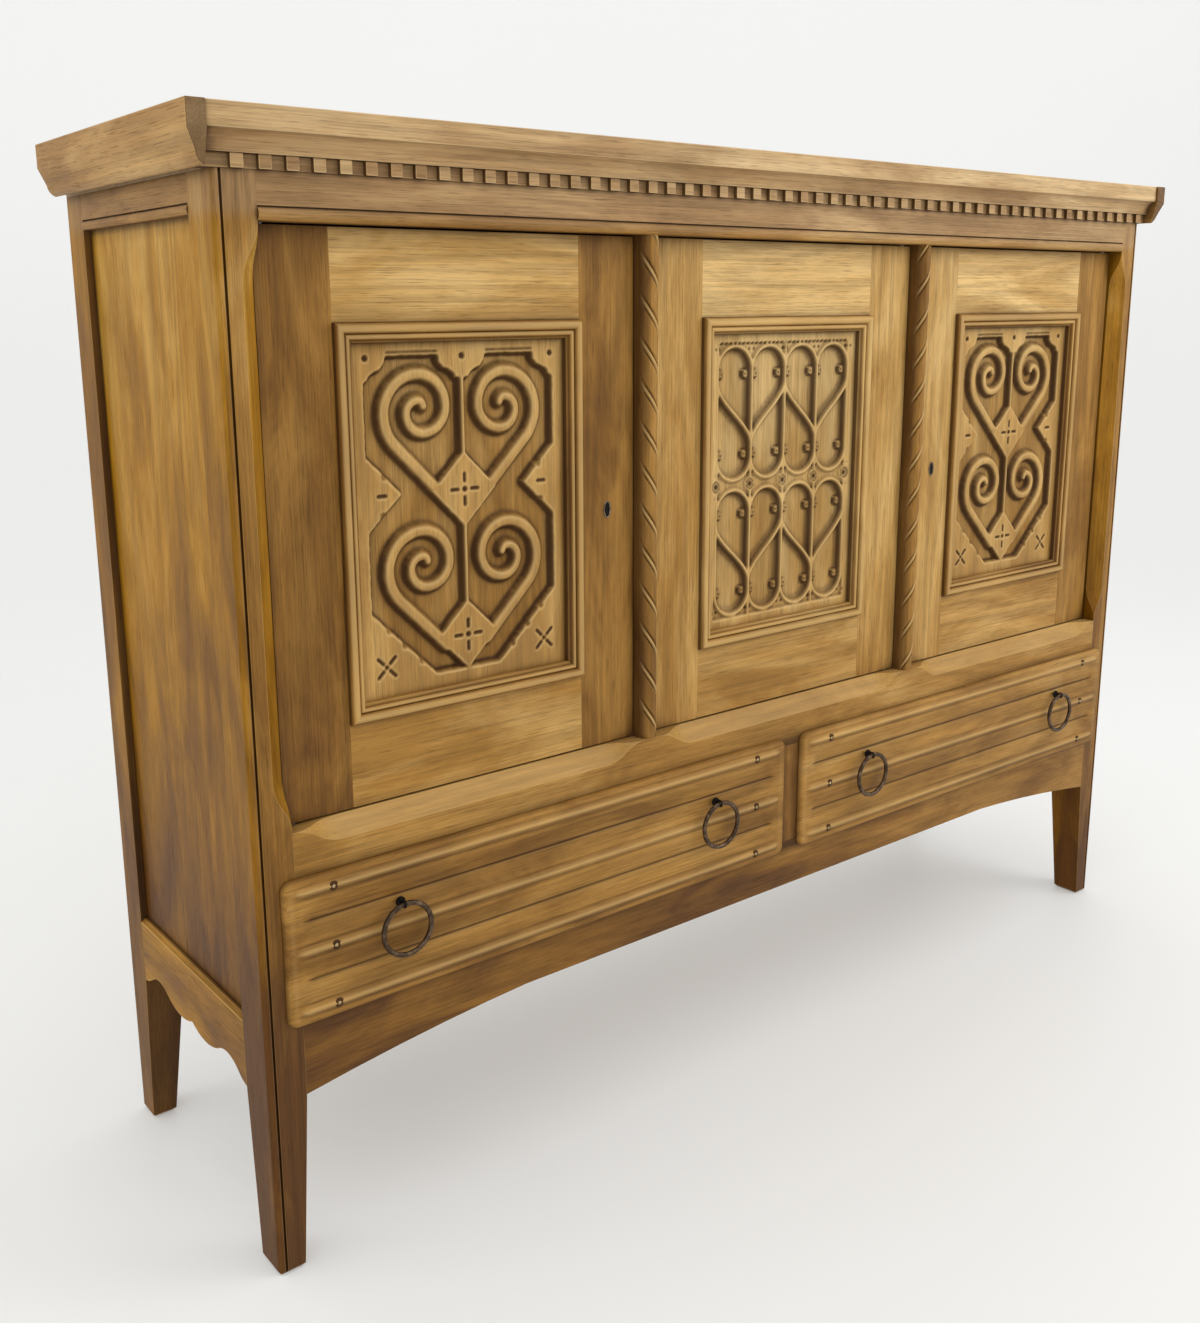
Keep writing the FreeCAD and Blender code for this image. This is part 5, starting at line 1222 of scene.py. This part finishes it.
class HIGHBOARD_OT_mouldings(bpy.types.Operator):
    """Mitred mouldings round the door panels"""

    bl_idname = "highboard.mouldings"
    bl_label = "Mouldings"

    def execute(self, context):
        make_materials()
        for door in RELIEFS:
            self.moulding(door)
        return {"FINISHED"}

    def half_round(self, middle, foot, radius, turns, fall):
        """Inset, depth and painted shade of a half round, darker towards its feet."""
        points = []
        for turn in np.radians(turns):
            rise = math.sin(turn)
            darkening = 0.8 * (1.0 - rise) ** fall
            points.append((middle + radius * math.cos(turn), foot - radius * rise, darkening))
        return points

    def profile(self, crest, back):
        """Inset, depth and painted shade of the section: a round, a quirk, a lower round and a fall to the
        panel.
        """
        outer, inner, step = 5.7 * MM, 3.2 * MM, 3.5 * MM
        quirk = outer * 2
        foot = crest + step + inner
        points = [(0.0, back, 0.7), (0.0, crest + outer * 1.02, 0.85)]
        points += self.half_round(outer, crest + outer, outer, np.linspace(172.0, 8.0, 15), 1.6)
        points += [(quirk - 0.3 * MM, foot + 0.8 * MM, 1.0), (quirk + 0.6 * MM, foot + 0.8 * MM, 1.0)]
        points += self.half_round(quirk + inner, foot, inner, np.linspace(160.0, 12.0, 11), 1.4)
        points += [(quirk + inner * 2 + 0.2 * MM, foot + 0.8 * MM, 0.8),
                   (MOULDING_WIDTH - 0.6 * MM, foot + 2.4 * MM, 0.25),
                   (MOULDING_WIDTH, foot + 3.4 * MM, 0.9), (MOULDING_WIDTH, back, 1.0)]
        return points

    def moulding(self, door):
        """One moulding, mitred at its corners, with the grain along each length."""
        node = door + "_door_moulding"
        low, high = node_box(node)
        profile = self.profile(low.y, high.y)
        points = []
        for inset, y, _ in profile:
            x0, x1, z0, z1 = low.x + inset, high.x - inset, low.z + inset, high.z - inset
            points += [(x0, y, z0), (x1, y, z0), (x1, y, z1), (x0, y, z1)]
        mesh = build_mesh(node + "_run", points, grid_faces(len(profile), 4, closed=True), 50.0)
        recess = np.repeat([darkening for _, _, darkening in profile], 4)
        corners = np.empty(len(mesh.loops), np.int32)
        mesh.loops.foreach_get("vertex_index", corners)
        sides = np.repeat(np.arange(len(mesh.polygons)) % 4, 4)
        rows = np.repeat(np.arange(len(mesh.polygons)) // 4, 4)
        mesh.polygons.foreach_set("material_index", [face % 2 for face in range(len(mesh.polygons))])
        # Sides in the order bottom, right, top, left: those that fall to the panel, then the others; the
        # right and top inner sides get the deepest painted shade
        inside = rows > len(profile) - 5
        inner_side = np.array([0.35, 1.0, 1.0, 0.5])[sides]
        outer_side = np.array([1.0, 0.7, 0.6, 1.0])[sides]
        darkening = recess[corners] * np.where(inside, inner_side, outer_side)
        # Lighter on the crests, wherever little shade is painted
        wear = 0.7 * unit(1.0 - darkening / 0.12)
        give_values(mesh, "CORNER", tone=PANEL_TONES[door] - 0.22, wear=wear, recess=darkening)
        dress_node(node, "_run", mesh, MATERIALS["X"], MATERIALS["Z"])


COLUMN_RADIUS = 13.5 * MM
# Distance of a column's middle from the cabinet's middle, and how far back its flanks run
COLUMN_MIDDLE = 262.5 * MM
FLANK_DEPTH = 49.5 * MM
COLUMN_STEPS = 61
GROOVE_HALF = 2.6 * MM
BOLT_PLAY = 0.3 * MM
COLUMN_TONE = 0.40


def rope_surface(rope, side, heights):
    """Angle, radius, painted shade and rubbed crests of a rope over heights from its foot."""
    angle, height = np.meshgrid(np.radians(np.linspace(-90.0, 90.0, COLUMN_STEPS)), heights)
    phase = (height - side * rope.slope * COLUMN_RADIUS * angle) / rope.pitch
    place = (phase % 1.0 - 0.5) * rope.pitch
    away = np.minimum(np.abs(place - rope.spacing / 2), np.abs(place + rope.spacing / 2))
    cut = unit(1.0 - away / GROOVE_HALF)
    strand = 0.5 + 0.5 * np.cos(2.0 * math.pi * phase)
    fade = unit((math.radians(84.0) - np.abs(angle)) / 0.6)
    reach = COLUMN_RADIUS - rope.groove * cut * fade - 0.5 * MM * strand
    # Painted shade: deepest on the left flank, less on the right one, and in the grooves
    left = unit((-angle - math.radians(15.0)) / math.radians(60.0))
    right = 0.7 * unit((angle - math.radians(60.0)) / math.radians(30.0))
    dark = np.maximum(cut ** 1.2 * fade, 0.75 * np.maximum(left, right))
    crest = 0.9 * (np.abs(place) < rope.spacing / 2) * (1.0 - cut) * fade
    return angle, reach, dark, crest


class HIGHBOARD_OT_columns(bpy.types.Operator):
    """Rope columns: half rounds with pairs of slanting grooves"""

    bl_idname = "highboard.columns"
    bl_label = "Rope columns"

    def execute(self, context):
        make_materials()
        rope = context.scene.highboard_rope
        for name, side in (("left", -1), ("right", 1)):
            self.column(name + "_rope_column", side, rope)
        return {"FINISHED"}

    def column(self, node, side, rope):
        """One column with its door stop behind it and a pocket for the lock bolt."""
        low, high = node_box(node)
        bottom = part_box("sill_rail")[1][2]
        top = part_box("frieze_rail")[0][2]
        middle = side * COLUMN_MIDDLE
        flank = low.y + FLANK_DEPTH
        pocket_low, pocket_high = self.pocket(node, side, rope)
        levels = np.linspace(bottom, top, int((top - bottom) / (1.3 * MM)))
        levels = np.unique(np.concatenate([levels, [pocket_low.z, pocket_high.z]]))
        angle, reach, dark, crest = rope_surface(rope, side, levels - bottom)
        skin = np.empty((*reach.shape, 3))
        skin[:, :, 0] = middle + reach * np.sin(angle)
        skin[:, :, 1] = low.y + COLUMN_RADIUS - reach * np.cos(angle)
        skin[:, :, 2] = levels[:, None]
        depths, rises = np.meshgrid([flank, pocket_high.y, pocket_low.y], levels)
        first = np.stack([np.full(rises.shape, middle - COLUMN_RADIUS), depths, rises], axis=-1)
        last = first[:, ::-1].copy()
        last[:, :, 0] = middle + COLUMN_RADIUS
        skin = np.concatenate([first, skin, last], axis=1)
        rows, columns = skin.shape[:2]
        points = skin.reshape(-1, 3)
        # The flank is open before the pocket
        strip = 1 if side < 0 else columns - 3
        open_rows = range(np.searchsorted(levels, pocket_low.z), np.searchsorted(levels, pocket_high.z))
        holes = {row * (columns - 1) + strip for row in open_rows}
        faces = [face for index, face in enumerate(grid_faces(rows, columns)) if index not in holes]
        pocket, walls = box_points(pocket_low, pocket_high)
        stop, sides = box_points((low.x, flank, bottom), (high.x, high.y, top))
        faces += shifted(walls[1:], len(points)) + shifted(sides, len(points) + len(pocket))
        mesh = build_mesh(node + "_turned", np.vstack([points, pocket, stop]), faces, 70.0)
        # Painted shade on the flanks, in the pocket and on the door stop behind the column
        dark = np.pad(dark, [(0, 0), (3, 3)], constant_values=0.9)
        crest = np.pad(crest, [(0, 0), (3, 3)])
        plain = np.zeros(len(pocket) + len(stop))
        give_values(mesh, tone=COLUMN_TONE, recess=np.concatenate([0.95 * dark.ravel(), plain + 0.8]),
                    wear=np.concatenate([crest.ravel(), plain]))
        dress_node(node, "_turned", mesh, MATERIALS["Z"])

    def pocket(self, node, side, rope):
        """Corners of the pocket that a lock bolt enters, from the column's flank inwards."""
        play = Vector((0.0, BOLT_PLAY, BOLT_PLAY))
        low, high = node_box(node.split("_")[0] + "_lock_bolt")
        low, high = low - play, high + play
        low.x = side * (COLUMN_MIDDLE + COLUMN_RADIUS)
        high.x = side * (COLUMN_MIDDLE + COLUMN_RADIUS - rope.pocket)
        return low, high


# Drawers

# Ridges and valleys of the folds as shares of a front's height
FOLD_RIDGES = (0.095, 0.5, 0.905)
FOLD_VALLEYS = (0.30, 0.705)
FOLD_END_DEPTH = 0.62
FRONT_POINTS = (330, 150)
DRAWER_TONES = {"left": 0.44, "right": 0.52}
# Gap behind the front's lip, and play of its block beside the drawer's opening
LIP_GAP, BLOCK_PLAY = 0.3 * MM, 1.5 * MM
# Pegs: distance of the two rows from the front's ends together, and thickness of a head
PEG_ENDS, PEG_THICK = 120 * MM, 1.6 * MM


def nearest_of(share, places):
    """Distance to the nearest of some places."""
    return np.min([np.abs(share - place) for place in places], axis=0)


def fold_profile(share):
    """Depth of a folded front, with its crests and valleys as values from 0 to 1."""
    marks = {0.0: 0.5, 1.0: 0.5, **dict.fromkeys(FOLD_RIDGES, 0.0), **dict.fromkeys(FOLD_VALLEYS, 1.0)}
    slope = np.interp(share, sorted(marks), [marks[place] for place in sorted(marks)])
    near = nearest_of(share, FOLD_RIDGES)
    far = nearest_of(share, FOLD_VALLEYS)
    crest = np.exp(-(near / 0.016) ** 2)
    hollow = np.exp(-((near - 0.042) / 0.014) ** 2)
    depth = 0.24 + 0.8 * slope - 0.28 * crest + 0.20 * hollow + 0.3 * unit(1.0 - far / 0.012)
    return depth, crest, np.exp(-(far / 0.007) ** 2)


def round_corners(u, v, half_x, half_z, radius):
    """Pulls points of a plate inside its round corners; returns them and their room to the edge."""
    over_x, over_z = np.abs(u) - half_x + radius, np.abs(v) - half_z + radius
    outer = (over_x > 0) & (over_z > 0)
    reach = np.hypot(over_x, over_z)
    pull = np.where(outer & (reach > radius), radius / np.maximum(reach, 1e-9), 1.0)
    u = np.where(outer, np.sign(u) * (half_x - radius + over_x * pull), u)
    v = np.where(outer, np.sign(v) * (half_z - radius + over_z * pull), v)
    over_x, over_z = np.abs(u) - half_x + radius, np.abs(v) - half_z + radius
    outer = (over_x > 0) & (over_z > 0)
    return u, v, radius - np.where(outer, np.hypot(over_x, over_z), np.maximum(over_x, over_z))


def folded_face(fold, across, up):
    """Places, depth, painted shade, and wear with painted highlights of a folded front, for rows and columns
    about its middle.
    """
    half_x, half_z = across[-1], up[-1]
    u, v, room = round_corners(*np.meshgrid(across, up), half_x, half_z, fold.corner)
    share = (v + half_z) / (2 * half_z)
    begin = fold.end + 0.05 * nearest_of(share, FOLD_RIDGES)
    along = unit((half_x - np.abs(u) - begin) / fold.run)
    along = along * along * (3.0 - 2.0 * along)
    depth, crest, valley = fold_profile(share)
    drop = fold.depth * (along * depth + (1.0 - along) * FOLD_END_DEPTH)
    edge = np.clip(fold.round - room, 0.0, fold.round)
    drop = drop + fold.round - np.sqrt(np.clip(fold.round ** 2 - edge ** 2, 0.0, None))
    around = soften(drop, 5)
    hollow = unit((drop - around) / (1.2 * MM)) * unit(room / (8 * MM))
    inner = unit((room - 5 * MM) / (5 * MM))
    fall = np.gradient(drop, up, axis=0) * inner
    # Rubbed crests and raised parts, with a painted highlight along the crests and on faces turned up
    wear = unit(crest * along * inner + 0.3 * unit((around - drop) / MM) * inner)
    wear = unit(wear + 0.2 * unit(fall / 0.35))
    # Painted shadow along the left rim
    rim_shade = 0.5 * unit((2.5 * MM - room) / (2.5 * MM)) * (u < 0.0)
    # Painted shade in the valleys and hollows and on faces turned down
    recess = 0.75 * valley * along + 0.30 * hollow + 0.36 * unit(-fall / 0.30)
    return u, v, drop, unit(np.maximum(recess, rim_shade)), wear


def grid_rim(rows, columns):
    """Points round the edge of a grid, in order."""
    low = list(range(columns))
    right = [row * columns + columns - 1 for row in range(1, rows)]
    high = [(rows - 1) * columns + column for column in range(columns - 2, -1, -1)]
    left = [row * columns for row in range(rows - 2, 0, -1)]
    return low + right + high + left


class HIGHBOARD_OT_drawers(bpy.types.Operator):
    """Folded drawer fronts with their pegs"""

    bl_idname = "highboard.drawers"
    bl_label = "Drawer fronts"

    def execute(self, context):
        make_materials()
        fold = context.scene.highboard_fold
        tree = peg_tree()
        for name in ("left", "right"):
            self.front(name, fold)
            self.pegs(name, fold, tree)
        return {"FINISHED"}

    def front(self, name, fold):
        """One front: a folded face with rounded edges, and the block that enters the opening."""
        node = name + "_drawer_front"
        low, high = node_box(node)
        middle = (low + high) / 2
        half = (high - low) / 2
        lip_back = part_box("arched_apron")[0][1] - LIP_GAP
        across = np.linspace(-half.x, half.x, FRONT_POINTS[0])
        up = np.linspace(-half.z, half.z, FRONT_POINTS[1])
        u, v, drop, recess, wear = folded_face(fold, across, up)
        face = np.stack([u + middle.x, low.y + np.minimum(drop, lip_back - low.y), v + middle.z], axis=-1)
        rows, columns = face.shape[:2]
        points = face.reshape(-1, 3)
        rim = grid_rim(rows, columns)
        start, count = len(points), len(rim)
        behind = points[rim].copy()
        behind[:, 1] = lip_back
        faces = grid_faces(rows, columns)
        faces += [(rim[(i + 1) % count], rim[i], start + i, start + (i + 1) % count) for i in range(count)]
        faces.append(tuple(range(start, start + count)))
        inner_low, inner_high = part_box(name + "_drawer_walls")
        block_low = (inner_low[0] - BLOCK_PLAY, lip_back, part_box("arched_apron")[1][2] + BLOCK_PLAY)
        block_high = (inner_high[0] + BLOCK_PLAY, high.y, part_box("sill_rail")[0][2] - BLOCK_PLAY)
        corners, sides = box_points(block_low, block_high)
        faces += shifted(sides, start + count)
        mesh = build_mesh(node + "_folds", np.vstack([points, behind, corners]), faces, 65.0)
        # Painted shade on the wall behind the front's rim
        lip_wall_shade = [0.9] * count + [0.0] * len(corners)
        give_values(mesh, tone=DRAWER_TONES[name], recess=np.concatenate([0.9 * recess.ravel(), lip_wall_shade]),
                    wear=np.concatenate([0.62 * wear.ravel(), np.zeros(len(lip_wall_shade))]))
        dress_node(node, "_folds", mesh, MATERIALS["X"])

    def pegs(self, name, fold, tree):
        """Drilled seats painted dark as their shade, and the bright pin heads in them, three at each end."""
        node = name + "_drawer_front"
        low, high = node_box(node)
        middle = (low + high) / 2
        sizes = {"Across": high.x - low.x - PEG_ENDS,
                 "Up": (high.z - low.z) * (FOLD_RIDGES[2] - FOLD_RIDGES[0])}
        # The seats are painted dark as the shade of their drilled holes
        for title, radius, shift, sink, material, slot, recess in (
                ("seats", fold.peg, 0.0, 1.1 * MM, MATERIALS["X"], SLOT_OF[node], 0.95),
                ("pins", fold.peg * 0.42, -0.4 * MM, 0.3 * MM, MATERIALS["brass"], "brass", 0.0)):
            mesh = grow("%s_drawer_peg_%s" % (name, title), tree, {
                **sizes, "Middle": (middle.x + shift, low.y + sink, middle.z), "Radius": radius,
                "Flat": PEG_THICK / radius, "Material": material})
            give_values(mesh, tone=0.3, recess=recess)
            place_piece(mesh.name, mesh, [material], BODY_OF[node])


class HIGHBOARD_OT_rings(bpy.types.Operator):
    """Forged rings of the drawers, hanging a little askew"""

    bl_idname = "highboard.rings"
    bl_label = "Rings"

    def execute(self, context):
        make_materials()
        ring = context.scene.highboard_ring
        tree = ring_tree()
        for drawer in ("left", "right"):
            for side in ("left", "right"):
                self.ring("%s_drawer_%s_ring" % (drawer, side), ring, tree)
        return {"FINISHED"}

    def ring(self, node, ring, tree):
        """One ring of round wire, hanging a little askew."""
        low, high = node_box(node)
        middle = (low + high) / 2
        back = ring.wire - (high.y - low.y) / 2
        radius = (high.x - low.x) / 2 * ring.stretch - ring.wire
        mesh = grow(node + "_forged", tree, {
            "Radius": radius, "Wire": ring.wire, "Segments": ring.segments,
            "Middle": (middle.x + ring.askew, middle.y + back, high.z - radius - ring.wire),
            "Material": MATERIALS["iron"]})
        dress_node(node, "_forged", mesh, MATERIALS["iron"])


PLATE_STEPS = 32


class HIGHBOARD_OT_escutcheons(bpy.types.Operator):
    """Oval keyhole plates with a raised rim"""

    bl_idname = "highboard.escutcheons"
    bl_label = "Escutcheons"

    def execute(self, context):
        make_materials()
        for door in ("left", "right"):
            self.plate(door + "_door_escutcheon")
        return {"FINISHED"}

    def plate(self, node):
        """One plate: a rim round a black face that is painted shade of the keyhole slot."""
        low, high = node_box(node)
        middle = (low + high) / 2
        wide, tall = (high.x - low.x) / 2, (high.z - low.z) / 2
        rings = ((1.0, high.y), (0.95, low.y), (0.84, low.y - 0.3 * MM), (0.72, low.y),
                 (0.66, high.y - 0.2 * MM))
        points = []
        for share, y in rings:
            inset = wide * (1.0 - share)
            for turn in range(PLATE_STEPS):
                angle = 2 * math.pi * turn / PLATE_STEPS
                points.append((middle.x + (wide - inset) * math.cos(angle), y,
                               middle.z + (tall - inset) * math.sin(angle)))
        faces = grid_faces(len(rings), PLATE_STEPS, closed=True)
        faces.append(tuple(range(len(points) - PLATE_STEPS, len(points))))
        mesh = build_mesh(node + "_plate", points, faces, 60.0)
        # The black inner face is painted shade of the keyhole
        mesh.polygons[len(mesh.polygons) - 1].material_index = 1
        dress_node(node, "_plate", mesh, MATERIALS["bronze"], MATERIALS["black_iron"])


class HIGHBOARD_OT_fittings(bpy.types.Operator):
    """Finishes of the inner boards and the metal fittings"""

    bl_idname = "highboard.fittings"
    bl_label = "Fittings"

    def execute(self, context):
        make_materials()
        for node, item in frame["nodes"].items():
            slot = "black_iron" if node.endswith("_eyes") else SLOT_OF[node]
            item.data.materials.clear()
            item.data.materials.append(MATERIALS.get(slot, MATERIALS["Z"]))
        return {"FINISHED"}


# Stage

# Sweep in metres: front end, where it begins to rise, radius of its bend, height and half width
SWEEP_FRONT, SWEEP_BEND, SWEEP_RADIUS, SWEEP_TOP, SWEEP_HALF = -7.0, 3.2, 2.2, 9.0, 14.0
BEND_STEPS = 24
# Soft lights: name, place, aim, width and share of the key light's power
LIGHTS = (
    ("front", (1.9, -2.0, 2.1), (0.1, -0.2, 1.0), 1.4, 1.0),
    ("overhead", (0.2, -0.8, 3.4), (0.0, -0.1, 0.6), 2.6, 0.9),
    ("side", (-2.6, 0.6, 2.4), (-0.8, 0.0, 1.0), 1.4, 0.5),
)


class HIGHBOARD_OT_stage(bpy.types.Operator):
    """Pale studio sweep, soft light and the camera"""

    bl_idname = "highboard.stage"
    bl_label = "Stage"

    def execute(self, context):
        stage = context.scene.highboard_stage
        self.sweep(stage)
        self.lights(context.scene, stage)
        self.camera(context.scene, stage)
        context.scene.view_settings.view_transform = "Standard"
        return {"FINISHED"}

    def sweep(self, stage):
        """Floor that curves up into the backdrop."""
        outline = [(SWEEP_FRONT, 0.0), (SWEEP_BEND, 0.0)]
        for angle in np.radians(90.0 * np.arange(1, BEND_STEPS + 1) / BEND_STEPS):
            rise = SWEEP_RADIUS * (1.0 - math.cos(angle))
            outline.append((SWEEP_BEND + SWEEP_RADIUS * math.sin(angle), rise))
        outline.append((SWEEP_BEND + SWEEP_RADIUS, SWEEP_TOP))
        points = [(x, y, z) for y, z in outline for x in (-SWEEP_HALF, SWEEP_HALF)]
        mesh = build_mesh("studio_sweep", points, grid_faces(len(outline), 2), 60.0)
        mesh.transform(Matrix.Rotation(stage.azimuth, 4, "Z"))
        material, tree, shader, place = plain_material("Studio sweep")
        cloud = stretched_noise(tree, place, (1.3, 1.3, 1.3), 2.0)
        dim = tuple(part * 0.97 for part in stage.floor)
        link(tree, mix_node(tree, cloud, (*dim, 1.0), (*stage.floor, 1.0)), shader.inputs["Base Color"])
        shader.inputs["Roughness"].default_value = 0.55
        split = add_node(tree, "ShaderNodeSeparateXYZ", Vector=place)
        glow = math_node(tree, "MULTIPLY_ADD", ramp_node(tree, split.outputs["Z"], 0.0, 2.6),
                         stage.glow[1] - stage.glow[0], stage.glow[0])
        shader.inputs["Emission Color"].default_value = (1.0, 1.0, 0.985, 1.0)
        link(tree, glow, shader.inputs["Emission Strength"])
        mesh.materials.append(material)
        sweep = bpy.data.objects.new("studio_sweep", mesh)
        bpy.context.scene.collection.objects.link(sweep)

    def lights(self, scene, stage):
        """Even white surround and large soft lights above and beside the camera."""
        world = bpy.data.worlds.new("Studio")
        world.use_nodes = True
        back = world.node_tree.nodes["Background"]
        back.inputs["Color"].default_value = (1.0, 1.0, 1.0, 1.0)
        back.inputs["Strength"].default_value = stage.ambient
        scene.world = world
        for name, place, aim, wide, share in LIGHTS:
            light = bpy.data.lights.new(name, "AREA")
            light.shape = "SQUARE"
            light.size = wide
            light.energy = stage.key * share
            lamp = bpy.data.objects.new(name, light)
            lamp.location = place
            lamp.rotation_euler = (Vector(aim) - Vector(place)).to_track_quat("-Z", "Y").to_euler()
            scene.collection.objects.link(lamp)

    def camera(self, scene, stage):
        """Camera where the photograph was taken."""
        azimuth, elevation, roll = stage.azimuth, stage.elevation, stage.roll
        back = Vector((math.sin(azimuth) * math.cos(elevation), -math.cos(azimuth) * math.cos(elevation),
                       math.sin(elevation)))
        right = Vector((math.cos(azimuth), math.sin(azimuth), 0.0))
        up = back.cross(right)
        leaning = right * math.cos(roll) + up * math.sin(roll)
        upright = up * math.cos(roll) - right * math.sin(roll)
        lens = bpy.data.cameras.new("Camera")
        lens.sensor_width = 36.0
        lens.lens = stage.lens
        lens.shift_x, lens.shift_y = stage.shift
        camera = bpy.data.objects.new("Camera", lens)
        turn = Matrix((leaning, upright, back)).transposed().to_4x4()
        camera.matrix_world = Matrix.Translation(Vector(stage.camera)) @ turn
        scene.collection.objects.link(camera)
        scene.camera = camera


class HIGHBOARD_PT_panel(bpy.types.Panel):
    """Sidebar panel of the highboard"""

    bl_idname = "HIGHBOARD_PT_panel"
    bl_label = "Oak highboard"
    bl_space_type = "VIEW_3D"
    bl_region_type = "UI"
    bl_category = "Highboard"

    def draw(self, context):
        layout = self.layout
        for name, kind in SETTINGS.items():
            box = layout.box()
            box.label(text=kind.__doc__.strip())
            for key in kind.__annotations__:
                box.prop(getattr(context.scene, name), key)
        for operator in OPERATORS:
            layout.operator(operator.bl_idname)


OPERATORS = (HIGHBOARD_OT_fittings, HIGHBOARD_OT_carcass, HIGHBOARD_OT_door_frames, HIGHBOARD_OT_panels,
             HIGHBOARD_OT_mouldings, HIGHBOARD_OT_columns, HIGHBOARD_OT_drawers, HIGHBOARD_OT_rings,
             HIGHBOARD_OT_escutcheons, HIGHBOARD_OT_stage)
CLASSES = (*SETTINGS.values(), *OPERATORS, HIGHBOARD_PT_panel)


def register():
    """Adds the add-on's classes and its settings on the scene."""
    for item in CLASSES:
        bpy.utils.register_class(item)
    for name, kind in SETTINGS.items():
        setattr(bpy.types.Scene, name, PointerProperty(type=kind))


def unregister():
    """Takes the settings and classes away again."""
    for name in SETTINGS:
        delattr(bpy.types.Scene, name)
    for item in reversed(CLASSES):
        bpy.utils.unregister_class(item)


def main():
    """Builds the whole scene."""
    register()
    for operator in OPERATORS:
        prefix, name = operator.bl_idname.split(".")
        getattr(getattr(bpy.ops, prefix), name)()


if __name__ == "__main__":
    main()
